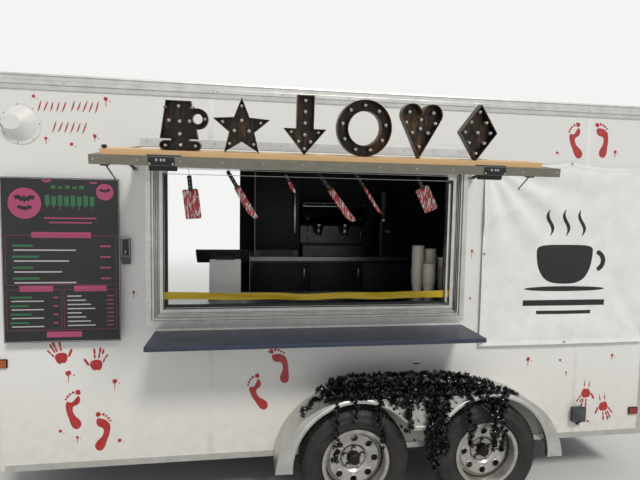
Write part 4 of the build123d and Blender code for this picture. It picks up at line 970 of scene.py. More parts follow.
class TRAILER_OT_rail_trim(bpy.types.Operator):
    """Screws and butt joints of the top rails and bottom trims, and the roof's sealant"""
    bl_idname = "trailer.rail_trim"
    bl_label = "Rail and trim fittings"

    JOINT = -1.288               # butt joint of the rail, as x from the axle pair
    STUDS = 0.406                # pitch of the wall's studs
    BAND = 0.014                 # raised band of the rail, off the skin
    BAND_Z = 2.545
    TRIM_Z = 0.332
    EAVES_Z = 2.5865
    # Roof vent: x from the axle pair, half its flange, and its foot
    VENT_X, VENT_HALF, VENT_Z = -0.70, 0.2, 2.6165

    def execute(self, context):
        sizes = context.scene.trailer_sizes
        heads = bmesh.new()
        bm = bmesh.new()
        joint = PAIR + self.JOINT
        for side in SIDES.values():
            rail = side * (self.BAND - SKIN)
            all_along = steps_between(joint - self.STUDS * 3, joint + self.STUDS * 9, sizes.rail_pitch)
            places = [x for x in all_along if FRONT + 0.11 < x < REAR - 0.03 and abs(x - joint) > 0.1]
            screws(heads, [(x, rail, self.BAND_Z) for x in (*places, joint - 0.026, joint + 0.026)],
                   (0, side, 0))
            block(bm, (joint - 0.0012, rail - side * 0.001, 2.5355),
                  (joint + 0.0012, rail + side * 0.0006, 2.5555), edge=0.0003)
            foot = side * (0.006 - SKIN)
            screws(heads, [(x, foot, self.TRIM_Z) for x in
                           steps_between(FRONT + 0.12, REAR - 0.04, sizes.trim_pitch)], (0, side, 0),
                   radius=HEAD_8)
            screws(heads, [(x, side * (0.0085 - SKIN), z) for x in (FRONT + 0.095, REAR - 0.012)
                           for z in (2.524, 2.571)], (0, side, 0), radius=HEAD_8)
        for y in steps_between(-0.9, 0.9, 0.3):
            screws(heads, [(FRONT - 0.006, y, self.TRIM_Z), (FRONT - 0.01, y, 2.53)], (-1, 0, 0),
                   radius=HEAD_8)
        for side in SIDES.values():
            screws(heads, [(REAR, side * 1.035, z) for z in steps_between(0.4, 2.48, 0.26)], (1, 0, 0),
                   radius=HEAD_8)
        # None behind the plate bracket
        screws(heads, [(REAR, y, z) for y in steps_between(-0.95, 0.95, 0.24) for z in (0.43, 2.44)
                       if not (z < 1 and -0.57 < y < -0.24)], (1, 0, 0), radius=HEAD_8)
        piece("trim_screws", heads, ["zinc"])
        piece("rail_joints", bm, ["black_plastic"])
        self.roof_tape()
        return {"FINISHED"}

    def roof_tape(self):
        """Sealant beads along both edges of the roof and round its vent."""
        bm = bmesh.new()
        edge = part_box("roof")[1].y - 0.03
        for side in SIDES.values():
            y = side * edge
            rod(bm, (FRONT + 0.09, y, self.EAVES_Z), (REAR - 0.07, y, self.EAVES_Z), 0.006, sides=8)
        vent, half = PAIR + self.VENT_X, self.VENT_HALF
        corners = [(vent + x, y, self.VENT_Z)
                   for x, y in ((-half, -half), (half, -half), (half, half), (-half, half))]
        for first, last in zip(corners, corners[1:] + corners[:1]):
            rod(bm, first, last, 0.007, sides=8)
        piece("roof_sealant", bm, ["white_plastic"])


class TRAILER_OT_window(bpy.types.Operator):
    """Flange screws, glazing channels, sill ribs and the barrier tape of the serving window"""
    bl_idname = "trailer.window"
    bl_label = "Serving window"

    FLANGE_X = (-1.675, 0.322)
    FLANGE_Z = (1.157, 2.165)
    RIB = 0.0028
    FILM = (0.046, 0.0003)       # width and thickness of the barrier tape

    def execute(self, context):
        heads = bmesh.new()
        face = SKIN - 0.005
        for z in (self.FLANGE_Z[0] + 0.015, self.FLANGE_Z[1] - 0.015):
            screws(heads, [(PAIR + x, face, z) for x in
                           steps_between(self.FLANGE_X[0] + 0.05, self.FLANGE_X[1] - 0.05, 0.24)],
                   (0, -1, 0), radius=HEAD_8)
        for x in (self.FLANGE_X[0] + 0.015, self.FLANGE_X[1] - 0.015):
            screws(heads, [(PAIR + x, face, z) for z in
                           steps_between(self.FLANGE_Z[0] + 0.14, self.FLANGE_Z[1] - 0.14, 0.35)],
                   (0, -1, 0), radius=HEAD_8)
        piece("window_screws", heads, ["zinc"])
        ribs = bmesh.new()
        for inset, depth in ((0.052, 0.0195), (0.062, 0.0195), (0.071, 0.0195), (0.1015, 0.0335)):
            lo_x, hi_x = PAIR + self.FLANGE_X[0] + inset, PAIR + self.FLANGE_X[1] - inset
            lo_z, hi_z = self.FLANGE_Z[0] + inset, self.FLANGE_Z[1] - inset
            front, back = SKIN + depth - 0.013, SKIN + depth + 0.001
            rib = self.RIB
            blocks(ribs, (((lo_x, front, lo_z), (lo_x + rib, back, hi_z)),
                          ((hi_x - rib, front, lo_z), (hi_x, back, hi_z)),
                          ((lo_x + rib, front, lo_z), (hi_x - rib, back, lo_z + rib)),
                          ((lo_x + rib, front, hi_z - rib), (hi_x - rib, back, hi_z))), edge=0.0006)
        piece("window_ribs", ribs, ["aluminium"])
        self.tape()
        return {"FINISHED"}

    def tape(self):
        """A strip of film from jamb to jamb, slack enough to twist and dip a little."""
        bm = bmesh.new()
        bmesh.ops.create_grid(bm, x_segments=90, y_segments=4, size=0.5)
        # It bulges inwards only, because the latches of the shut hatch come close in front of it
        wide, thick = self.FILM
        first, last = self.FLANGE_X[0] + 0.098, self.FLANGE_X[1] - 0.098
        for vert in bm.verts:
            share, across = vert.co.x + 0.5, vert.co.y
            pull = math.sin(math.pi * share)
            curl = abs(noise.noise(Vector((share * 9, across * 1.5, 4.0)))) * 0.014 * pull
            middle = 1.337 - 0.008 * share - 0.012 * pull + 0.004 * math.sin(share * 23) * pull
            tall = wide * (1 - 0.18 * pull * abs(math.sin(share * 7 + 1)))
            wave = 0.004 * pull * (1 + math.sin(share * 11 + across * 3))
            vert.co = Vector((PAIR + first + (last - first) * share, SKIN + 0.0185 + curl + wave,
                              middle + across * tall))
        bmesh.ops.triangulate(bm, faces=bm.faces)
        bmesh.ops.solidify(bm, geom=bm.faces, thickness=thick)
        paint(bm, 0)
        piece("barrier_tape", bm, ["tape"], angle=60)


class TRAILER_OT_hatch(bpy.types.Operator):
    """Bar screws, latches, straps, seal, ribs and plank fittings of the hatch"""
    bl_idname = "trailer.hatch"
    bl_label = "Hatch fittings"

    LO, HI = -1.700, 0.311       # its ends, as x from the axle pair
    FAR = 0.925                  # its free edge, out from the hinge
    BAR_MID = 0.009              # height of the bar's middle over the panel
    LATCHES = (-1.427, -0.005)

    def execute(self, context):
        heads = bmesh.new()
        for x in steps_between(self.LO + 0.016, self.HI - 0.016, 0.166):
            if all(abs(x - latch) > 0.06 for latch in self.LATCHES):
                screws(heads, [ON_HATCH @ Vector((x, self.FAR, self.BAR_MID))], OUT, radius=HEAD_9)
        for out in steps_between(0.06, 0.88, 0.2):
            for x, way in ((self.LO, -1), (self.HI, 1)):
                if abs(out - 0.4) > 0.03:
                    screws(heads, [ON_HATCH @ Vector((x, out, self.BAR_MID))], (way, 0, 0), radius=HEAD_9)
        piece("hatch_screws", heads, ["zinc"], body="hatch")
        self.latches()
        self.straps()
        self.underside()
        self.plank_fittings()
        return {"FINISHED"}

    def latches(self):
        """Slam latches: a dished plate on the bar, its striker pins and a paddle under it."""
        bm = bmesh.new()
        for latch in self.LATCHES:
            # Plate, the raised panel on it, its pins and its screws
            block(bm, (latch - 0.052, self.FAR - 0.0006, -0.008), (latch + 0.052, self.FAR + 0.002, 0.026),
                  edge=0.001, place=ON_HATCH)
            block(bm, (latch - 0.046, self.FAR + 0.0015, 0.004), (latch + 0.046, self.FAR + 0.0038, 0.024),
                  edge=0.0009, place=ON_HATCH)
            for x in (-0.018, 0.0, 0.012):
                block(bm, (latch + x - 0.004, self.FAR + 0.0032, 0.008),
                      (latch + x + 0.004, self.FAR + 0.004, 0.018), edge=0.0003, slot=1, place=ON_HATCH)
            for x in (-0.045, 0.045):
                rod(bm, (latch + x, self.FAR + 0.001, -0.002), (latch + x, self.FAR + 0.004, -0.002),
                    0.0045, edge=0.0008, slot=1, place=ON_HATCH)
            # Paddle with its pivot ears, hung under the bar
            blocks(bm, (((latch - 0.055, 0.866, -0.033), (latch + 0.055, 0.890, -0.024)),
                        ((latch - 0.050, 0.876, -0.026), (latch + 0.050, 0.894, -0.0102))),
                   edge=0.003, place=ON_HATCH)
            for x in (-0.054, 0.049):
                block(bm, (latch + x, 0.864, -0.030), (latch + x + 0.005, 0.893, -0.0102), edge=0.0015,
                      place=ON_HATCH)
            rod(bm, (latch - 0.053, 0.872, -0.019), (latch + 0.053, 0.872, -0.019), 0.003, slot=1,
                place=ON_HATCH)
        piece("latch_sets", bm, ["black_plastic", "zinc"], body="hatch",
              replaces=("hatch_latches",))

    def straps(self):
        """Soft rubber straps under the bar's ends, pressed flat by the shut hatch."""
        bm = bmesh.new()
        for x, lean in ((-1.652, 0.03), (0.193, -0.03)):
            block(bm, (x - 0.016, 0.862, -0.0185), (x + 0.016, 0.892, -0.0095), edge=0.002, place=ON_HATCH)
            rod(bm, (x + lean * 0.1, 0.876, -0.017), (x + lean, 0.850, -0.074), 0.0032, tip=0.0024,
                sides=10, edge=0.0005, place=ON_HATCH)
            rod(bm, (x + lean, 0.850, -0.074), (x + lean * 0.6, 0.836, -0.081), 0.0024, sides=10,
                edge=0.0005, place=ON_HATCH)
        straps = piece("hatch_straps", bm, ["black_plastic"], body="hatch")
        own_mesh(straps)

    def underside(self):
        """Seal round the hatch's inner face and its two stiffening channels."""
        bm = bmesh.new()
        lo_x, hi_x, near, far = self.LO + 0.036, self.HI - 0.036, 0.052, 0.886
        for first, last in (((lo_x, near), (hi_x, near)), ((lo_x, far), (hi_x, far)),
                            ((lo_x, near), (lo_x, far)), ((hi_x, near), (hi_x, far))):
            rod(bm, (*first, -0.0076), (*last, -0.0076), 0.0022, sides=8, place=ON_HATCH)
        piece("hatch_seal", bm, ["black_plastic"], body="hatch")
        ribs = bmesh.new()
        for x in steps_between(lo_x + 0.45, hi_x - 0.45, 0.5):
            block(ribs, (x - 0.02, 0.056, -0.0088), (x + 0.02, 0.882, -0.0078), edge=0.0004, place=ON_HATCH)
        piece("hatch_ribs", ribs, ["aluminium"], body="hatch")

    def plank_fittings(self):
        """Foam pads under the plank, its screws and the round knob on its end."""
        bm = bmesh.new()
        for first, last in ((-1.487, -1.352), (-0.085, 0.055)):
            block(bm, (first, 0.868, 0.0268), (last, 0.908, 0.0325), edge=0.002, place=ON_HATCH)
        knob = ((0.0, 0.017), (0.006, 0.0165), (0.0105, 0.013), (0.0115, 0.008), (0.009, 0.004),
                (0.005, 0.0015), (0.005, 0.0), (0.0, 0.0))
        turned(bm, knob, ON_HATCH @ Vector((-1.652, 0.874, 0.049)), UP, steps=24, slot=1)
        head = ((0.0, 0.0008), (0.003, 0.0008), (0.0042, 0.0), (0.0, 0.0))
        for x in steps_between(-1.6, 0.17, 0.59):
            for out in (0.785, 0.862):
                turned(bm, head, ON_HATCH @ Vector((x, out, 0.050)), UP, steps=12, slot=2)
        piece("plank_fittings", bm, ["shelf", "black_plastic", "zinc"], body="hatch")


class TRAILER_OT_lamps(bpy.types.Operator):
    """Bulbs in their sockets inside the six lamp shapes"""
    bl_idname = "trailer.lamps"
    bl_label = "Sign lamps"

    # Middle of each shape along the hatch, and its bulbs as (across, up) in metres
    BULBS = (
        (-1.350, ((-0.066, 0.172), (-0.012, 0.176), (0.040, 0.172), (-0.052, 0.118), (-0.010, 0.116),
                  (0.030, 0.118), (-0.010, 0.066), (-0.068, 0.020), (-0.008, 0.022), (0.052, 0.020),
                  (0.091, 0.128))),
        (-1.112, ((0.0, 0.188), (-0.078, 0.123), (0.078, 0.123), (-0.050, 0.034), (0.050, 0.034),
                  (0.0, 0.130), (-0.030, 0.088), (0.030, 0.088))),
        (-0.850, ((0.0, 0.222), (0.0, 0.176), (0.0, 0.130), (-0.058, 0.094), (0.058, 0.094),
                  (0.0, 0.082), (-0.026, 0.054), (0.026, 0.054), (0.0, 0.024))),
        (-0.595, tuple((0.0955 * math.cos(math.radians(40 * i + 10)),
                        0.119 + 0.0955 * math.sin(math.radians(40 * i + 10))) for i in range(9))),
        (-0.344, ((-0.054, 0.196), (0.054, 0.196), (0.0, 0.166), (-0.066, 0.152), (0.066, 0.152),
                  (-0.036, 0.110), (0.036, 0.110), (0.0, 0.128), (0.0, 0.050))),
        (-0.077, ((0.0, 0.210), (-0.036, 0.166), (0.036, 0.166), (-0.060, 0.121), (0.060, 0.121),
                  (0.0, 0.121), (-0.036, 0.076), (0.036, 0.076), (0.0, 0.030))),
    )
    FACE = 0.880 - 0.036         # back of each tray, out from the hinge
    FOOT = 0.050                 # top of the plank

    def execute(self, context):
        size = context.scene.trailer_sizes.bulb / 2
        sockets = bmesh.new()
        glass = bmesh.new()
        cap = ((0.0, 0.0), (size * 1.15, 0.0), (size * 1.15, 0.003), (size * 0.8, 0.005),
               (size * 0.75, 0.012), (0.0, 0.012))
        drop = ((0.0, 0.008), (size * 0.62, 0.009), (size * 0.78, 0.014), (size, 0.021),
                (size * 0.92, 0.0265), (size * 0.55, 0.031), (size * 0.2, 0.0335), (0.0, 0.034))
        for middle, bulbs in self.BULBS:
            for across, up in bulbs:
                foot = ON_HATCH @ Vector((middle + across, self.FACE, self.FOOT + up))
                turned(sockets, cap, foot, OUT, steps=12)
                turned(glass, drop, foot, OUT, steps=12)
        piece("lamp_sockets", sockets, ["black_plastic"], body="hatch")
        piece("lamp_bulbs", glass, ["glass"], body="hatch", angle=80)
        return {"FINISHED"}


class TRAILER_OT_props(bpy.types.Operator):
    """Plastic knives and cleavers hung in the top of the window"""
    bl_idname = "trailer.props"
    bl_label = "Hanging props"

    # Kind, then head and tip as x from the axle pair and height
    ROW = (
        ("cleaver", (-1.431, 2.052), (-1.405, 1.800)),
        ("knife", (-1.202, 2.085), (-1.030, 1.800)),
        ("knife", (-0.640, 2.085), (-0.410, 1.788)),
        ("slim", (-0.405, 2.092), (-0.235, 1.842)),
        ("cleaver", (0.005, 2.080), (0.105, 1.872)),
        ("slim", (-0.850, 2.080), (-0.790, 1.960)),
    )
    OFF = -0.062                 # behind the skin, clear of the closed hatch
    TOP = 2.0995

    def execute(self, context):
        bm = bmesh.new()
        for kind, head, tip in self.ROW:
            self.hang(bm, kind, Vector(head), Vector(tip))
        piece("hanging_props", bm, ["blade", "black_plastic", "zinc"])
        return {"FINISHED"}

    def hang(self, bm, kind, head, tip):
        """One prop: a blade, a handle with rivets and its string."""
        along = (tip - head).normalized()
        across = Vector((-along.y, along.x))
        reach = (tip - head).length
        place = ON_SKIN @ Matrix((
            (along.x, across.x, 0, head.x),
            (along.y, across.y, 0, head.y),
            (0, 0, 1, self.OFF),
            (0, 0, 0, 1),
        ))
        grip = reach * 0.30
        # Blade's outline and half the handle's depth
        outline, thick = {
            "cleaver": (((grip, -0.044), (grip + 0.006, -0.050), (reach, -0.046), (reach + 0.004, 0.040),
                         (reach - 0.01, 0.047), (grip + 0.01, 0.044), (grip, 0.036)), 0.013),
            "knife": (((grip, -0.014), (grip + 0.004, -0.020), (reach - 0.06, -0.026),
                       (reach - 0.01, -0.010), (reach, 0.018), (grip, 0.018)), 0.012),
            "slim": (((grip, -0.007), (reach - 0.05, -0.013), (reach - 0.015, -0.006), (reach, 0.009),
                      (grip, 0.009)), 0.009),
        }[kind]
        plate(bm, outline, 0.0035, edge=0.0012, place=place)
        block(bm, (-0.006, -thick, -0.006), (grip + 0.012, thick, 0.0105), edge=0.004, slot=1, place=place)
        for share in (0.2, 0.5, 0.8):
            rod(bm, (grip * share, 0, 0.0095), (grip * share, 0, 0.0122), 0.0032, sides=10, edge=0.0006,
                slot=2, place=place)
        string = ON_SKIN @ Vector((head.x, head.y - 0.004, self.OFF + 0.002))
        rod(bm, string, (string.x - 0.004, string.y, self.TOP), 0.0013, sides=6, slot=1)


class TRAILER_OT_shelf(bpy.types.Operator):
    """Edge band, hinge leaves and rail screws of the serving shelf"""
    bl_idname = "trailer.shelf"
    bl_label = "Serving shelf"

    LO, HI = -1.618, 0.300
    TOP = 1.133
    BAND = (-0.0245, 0.0006)     # lower and upper edge of the band, from the shelf's top
    HINGES = (-1.5, -1.05, -0.6, -0.15, 0.22)
    RAIL_Z = 1.146

    def execute(self, context):
        lo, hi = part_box("serving_shelf")
        bm = bmesh.new()
        # Moulded edge band round the three free sides
        foot, top = (self.TOP + edge for edge in self.BAND)
        block(bm, (lo.x - 0.0008, lo.y - 0.001, foot), (hi.x + 0.0008, lo.y + 0.0012, top), edge=0.0009)
        for x, way in ((lo.x, -1), (hi.x, 1)):
            block(bm, (x - way * 0.0012, lo.y + 0.0012, foot), (x + way * 0.001, hi.y - 0.012, top),
                  edge=0.0009)
        piece("shelf_band", bm, ["shelf"], body="serving_shelf")
        leaves = bmesh.new()
        under = self.TOP - 0.0273
        for x in self.HINGES:
            block(leaves, (PAIR + x - 0.034, hi.y - 0.075, under),
                  (PAIR + x + 0.034, hi.y - 0.008, under + 0.0024), edge=0.0006)
            screws(leaves, [(PAIR + x + off, hi.y - 0.055, under) for off in (-0.02, 0.02)],
                   (0, 0, -1), radius=HEAD_8)
        piece("shelf_hinges", leaves, ["zinc"], body="serving_shelf")
        heads = bmesh.new()
        screws(heads, [(PAIR + x, SKIN - 0.005, self.RAIL_Z)
                       for x in steps_between(self.LO + 0.05, self.HI - 0.05, 0.23)],
               (0, -1, 0), radius=HEAD_8)
        piece("shelf_rail_screws", heads, ["zinc"])
        return {"FINISHED"}


class TRAILER_OT_fenders(bpy.types.Operator):
    """Rolled lips, apron flange and foot screws of the fenders"""
    bl_idname = "trailer.fenders"
    bl_label = "Fender lips"

    ARCH = 0.390                 # inner radius of the arch
    OUTER = 1.305                # outer edge, from the middle
    APRON_Z = 0.548
    LOW = 0.322                  # foot of the arch

    def execute(self, context):
        lip = ((-0.003, 0.024), (-0.003, -0.003), (0.0, -0.0055), (0.010, -0.0062), (0.018, -0.0048),
               (0.0215, -0.0015), (0.0205, 0.0012), (0.001, 0.0008), (0.001, 0.024), (-0.003, 0.024))
        rise = math.asin((self.APRON_Z - HUB_Z) / self.ARCH)
        dip = math.asin((HUB_Z - self.LOW) / self.ARCH)
        bm = bmesh.new()
        for side in SIDES.values():
            out = side * self.OUTER
            profile = [(self.ARCH + radius, -side * along) for radius, along in lip]
            for axle, way in ((AXLES["front"], -1), (AXLES["rear"], 1)):
                begin = Vector((way * math.cos(dip), 0, -math.sin(dip)))
                sweep = -way * (math.pi + dip - rise)
                turned(bm, profile, (axle, out, HUB_Z), (0, 1, 0), steps=56, angle=sweep, begin=begin)
            reach = self.ARCH * math.cos(rise) - SPREAD
            block(bm, (PAIR + reach - 0.008, out - side * 0.030, self.APRON_Z - 0.004),
                  (PAIR - reach + 0.008, out + side * 0.0055, self.APRON_Z + 0.001), edge=0.0014)
            block(bm, (PAIR + reach - 0.004, out - side * 0.001, self.APRON_Z + 0.0005),
                  (PAIR - reach + 0.004, out + side * 0.0055, self.APRON_Z + 0.019), edge=0.002)
        boundary = [edge for edge in bm.edges if edge.is_boundary]
        bmesh.ops.holes_fill(bm, edges=boundary, sides=0)
        paint(bm, 0)
        piece("fender_lips", bm, ["aluminium"])
        heads = bmesh.new()
        for side in SIDES.values():
            out = side * self.OUTER
            screws(heads, [(PAIR + x, out, 0.345) for x in (-0.868, 0.868)], (0, side, 0), radius=0.006)
            screws(heads, [(PAIR, side * (self.OUTER + 0.0055), 0.557)], (0, side, 0), radius=HEAD_10)
            screws(heads, [(PAIR + x, side * -SKIN * 1.008, 0.7455) for x in steps_between(-0.5, 0.5, 0.25)],
                   (0, 0, 1), radius=HEAD_10)
        piece("fender_screws", heads, ["zinc"])
        return {"FINISHED"}


class TRAILER_OT_wheels(bpy.types.Operator):
    """Treaded tyres, and the nuts, cap, rolled vent rims and valve of each wheel"""
    bl_idname = "trailer.wheels"
    bl_label = "Wheels"

    # Tyre section from the bead over one sidewall to the middle of the tread: radius, offset
    WALL = (
        (0.1905, 0.0765), (0.2085, 0.0780), (0.2125, 0.0815), (0.2175, 0.0838), (0.2215, 0.0880),
        (0.2245, 0.0912), (0.2280, 0.0912), (0.2305, 0.0900), (0.2400, 0.0940), (0.2520, 0.0972),
        (0.2620, 0.0988), (0.2645, 0.0999), (0.2680, 0.0999), (0.2705, 0.0984), (0.2850, 0.0966),
        (0.2985, 0.0934), (0.3010, 0.0940), (0.3050, 0.0930), (0.3075, 0.0908), (0.3160, 0.0868),
        (0.3240, 0.0818), (0.3305, 0.0755),
        (0.3338, 0.0700), (0.3346, 0.0520), (0.3288, 0.0505), (0.3288, 0.0430), (0.3356, 0.0415),
        (0.3372, 0.0120), (0.3312, 0.0105), (0.3312, 0.0),
    )
    NUTS = 5
    NUT_CIRCLE = 0.05715
    VENTS = 8
    VENT_CIRCLE = 0.129
    # Grooves that hold dirt, where the disc meets the hub's rise, its shoulder and the rim: radius,
    # place along the axle, width
    GROOVES = ((0.0745, 0.0058, 0.0030), (0.1560, 0.0262, 0.0018), (0.1800, 0.0112, 0.0046),
               (0.1893, 0.0832, 0.0014), (0.0405, 0.0052, 0.0026))

    def execute(self, context):
        blocks = context.scene.trailer_sizes.tread_blocks
        for axle_name, axle in AXLES.items():
            for side_name, side in SIDES.items():
                name = f"{axle_name}_{side_name}"
                centre = Vector((axle, side * TRACK, HUB_Z))
                self.tyre(name, centre, side, blocks)
                self.rim_fittings(name, centre, side)
        return {"FINISHED"}

    def tyre(self, name, centre, side, blocks):
        """A spun section, its shoulders cut into blocks and its ribs siped."""
        bm = bmesh.new()
        outer = [(radius, side * off) for radius, off in self.WALL]
        inner = [(radius, -side * off) for radius, off in reversed(self.WALL[:-1])]
        steps = blocks * 2
        turned(bm, (*outer, *inner, outer[0]), centre, (0, 1, 0), steps=steps)
        bmesh.ops.recalc_face_normals(bm, faces=bm.faces)
        step = 2 * math.pi / steps
        shoulder, sipes = [], []
        for face in bm.faces:
            middle = face.calc_center_median() - centre
            radius = math.hypot(middle.x, middle.z)
            turn = int(round(math.atan2(middle.z, middle.x) / step - 0.5))
            off = abs(middle.y)
            if turn % 2 == 0 and radius > 0.326 and 0.052 < off < 0.080:
                shoulder.append(face)
            elif turn % 3 == 0 and radius > 0.334 and 0.012 < off < 0.0415:
                sipes.append(face)
        bmesh.ops.inset_region(bm, faces=shoulder, thickness=0.0012, depth=-0.0055,
                               use_even_offset=True)
        bmesh.ops.inset_individual(bm, faces=sipes, thickness=0.0042, depth=-0.003,
                                   use_even_offset=True)
        piece(f"tyre_tread_{name}", bm, ["rubber"], body=f"wheel_{name}",
              replaces=(f"tyre_{name}",), angle=28)

    def rim_fittings(self, name, centre, side):
        """Lug nuts on their circle, the hub's cap, rolled rims of the vents and the valve."""
        bm = bmesh.new()
        away = Vector((0, side, 0))
        for i in range(self.NUTS):
            turn = 2 * math.pi * i / self.NUTS + 0.3
            spot = centre + Vector((math.cos(turn), 0, math.sin(turn))) * self.NUT_CIRCLE
            rod(bm, spot + away * 0.004, spot + away * 0.0085, 0.0165, tip=0.0150, sides=18, edge=0.0008,
                slot=1)
            rod(bm, spot + away * 0.008, spot + away * 0.027, 0.0118, sides=6, edge=0.0016, slot=3)
            rod(bm, spot + away * 0.0265, spot + away * 0.0315, 0.0062, sides=12, edge=0.0008, slot=3)
        for radius, along, wide in self.GROOVES:
            groove = [(radius + wide * math.cos(t), side * (along + wide * 0.7 * math.sin(t)))
                      for t in steps_between(0, 2 * math.pi, 1.05)]
            turned(bm, groove, centre, (0, 1, 0), steps=48, slot=1)
        rim = ((0.0208, 0.0), (0.0200, 0.0032), (0.0218, 0.0054), (0.0245, 0.0040), (0.0252, 0.0),
               (0.0208, 0.0))
        for i in range(self.VENTS):
            turn = 2 * math.pi * i / self.VENTS
            lean = Vector((math.cos(turn), 0, math.sin(turn)))
            spot = centre + lean * self.VENT_CIRCLE + away * 0.0235
            turned(bm, rim, spot, (away - lean * 0.1).normalized(), steps=24)
        stem = centre + Vector((math.cos(1.96), 0, math.sin(1.96))) * 0.168
        rod(bm, stem + away * 0.012, stem + away * 0.040, 0.0052, tip=0.0042, sides=12, edge=0.0008, slot=2)
        rod(bm, stem + away * 0.040, stem + away * 0.049, 0.0046, sides=12, edge=0.001, slot=2)
        piece(f"rim_fittings_{name}", bm, ["lacquer", "grime", "black_plastic", "zinc"],
              body=f"wheel_{name}")


class TRAILER_OT_garland(bpy.types.Operator):
    """Foil garland heaped on the left fender, its strands hanging over the edge"""
    bl_idname = "trailer.garland"
    bl_label = "Garland"

    # Tuft size, looseness, then a run's points, all but the first in millimetres: x from the axle pair,
    # height, distance off the skin
    RUNS = (
        (1.0, 12, ((-770, 671, 226), (-700, 741, 209), (-600, 780, 192), (-300, 782, 214),
                   (0, 778, 208), (300, 779, 214), (500, 770, 216), (600, 724, 222))),
        (1.1, 14, ((-660, 775, 165), (-400, 786, 172), (-100, 780, 160), (200, 784, 172),
                   (430, 778, 180))),
        (1.1, 14, ((-620, 776, 126), (-300, 790, 130), (50, 782, 122), (330, 778, 130))),
        (1.1, 14, ((-650, 815, 195), (-450, 842, 180), (-200, 834, 186), (50, 846, 176),
                   (260, 832, 186), (420, 806, 200))),
        (1.0, 14, ((-600, 842, 140), (-250, 856, 142), (100, 852, 140), (340, 822, 146))),
        (1.0, 16, ((-640, 760, 236), (-420, 768, 238), (-150, 756, 240), (150, 752, 240),
                   (300, 764, 238), (500, 752, 240))),
        (0.7, 6, ((-555, 780, 246), (-562, 640, 254), (-552, 500, 252))),
        (0.95, 8, ((-552, 500, 254), (-560, 450, 254), (-553, 400, 254))),
        (0.7, 7, ((-440, 775, 246), (-448, 700, 254), (-448, 625, 254))),
        (0.95, 12, ((-300, 775, 246), (-292, 640, 256), (-286, 540, 254), (-286, 465, 254))),
        (1.0, 16, ((-240, 745, 246), (-150, 715, 256), (-60, 735, 256))),
        (1.0, 14, ((-125, 765, 246), (-105, 660, 258), (-117, 550, 256))),
        (1.1, 14, ((0, 770, 246), (24, 640, 260), (10, 500, 258), (20, 375, 258))),
        (1.1, 14, ((60, 770, 246), (52, 640, 260), (66, 480, 258), (60, 310, 258))),
        (1.1, 14, ((120, 770, 246), (104, 640, 260), (112, 500, 258), (104, 395, 258))),
        (1.0, 12, ((260, 775, 246), (272, 640, 256), (290, 540, 254), (277, 450, 254))),
        (1.0, 14, ((340, 735, 250), (420, 690, 258), (490, 715, 254))),
        (1.0, 14, ((370, 700, 254), (430, 650, 258), (490, 660, 256))),
        (1.0, 10, ((420, 660, 254), (440, 560, 256), (428, 480, 254), (432, 405, 254))),
        (0.9, 10, ((500, 760, 246), (488, 600, 256), (500, 500, 254), (492, 420, 254))),
        # Loose ends of flakes over the apron and round the longest strands
        (0.5, 42, ((-270, 715, 250), (-100, 680, 250), (170, 700, 250))),
        (0.5, 36, ((-105, 640, 252), (-110, 520, 252))),
        (0.5, 40, ((60, 640, 252), (55, 340, 252))),
        (0.5, 30, ((460, 680, 252), (460, 430, 252))),
    )
    FLAKES = 26

    def execute(self, context):
        sizes = context.scene.trailer_sizes
        pick = random.Random(31)
        tufts = [self.tuft(pick, sizes.flake) for _ in range(3)]
        bm = bmesh.new()
        for scale, loose, points in self.RUNS:
            loose = loose / 1000
            spots = [Vector([value / 1000 for value in point]) for point in points]
            for first, last in zip(spots, spots[1:]):
                for share in steps_between(0, 1, sizes.tuft_pitch / (last - first).length)[1:]:
                    spot = first.lerp(last, share)
                    spot += Vector([pick.uniform(-loose, loose) * reach for reach in (1.6, 1, 0.5)])
                    place = ON_SKIN @ Matrix.Translation(spot) @ self.turn(pick) @ Matrix.Scale(scale, 4)
                    mesh = pick.choice(tufts)
                    mesh.transform(place)
                    bm.from_mesh(mesh)
                    mesh.transform(place.inverted())
        for mesh in tufts:
            bpy.data.meshes.remove(mesh)
        piece("foil_garland", bm, ["foil"], replaces=("garland",), angle=30)
        return {"FINISHED"}

    def turn(self, pick):
        """Any way round."""
        turns = [Matrix.Rotation(pick.uniform(0, 2 * math.pi), 4, axis) for axis in "XYZ"]
        return turns[0] @ turns[1] @ turns[2]

    def tuft(self, pick, flake):
        """A burst of bent foil flakes round one point."""
        bm = bmesh.new()
        for _ in range(self.FLAKES):
            made = bmesh.ops.create_grid(bm, x_segments=2, y_segments=1, size=0.5)
            wide = flake * pick.uniform(0.35, 0.6)
            curl = pick.uniform(-0.7, 0.7)
            for vert in made["verts"]:
                along = vert.co.x + 0.5
                vert.co = Vector((flake * (0.2 + along), wide * vert.co.y * (1 - 0.5 * along),
                                  flake * curl * along * along))
            bmesh.ops.transform(bm, verts=made["verts"], matrix=self.turn(pick))
        mesh = bpy.data.meshes.new("tuft")
        bm.to_mesh(mesh)
        bm.free()
        return mesh


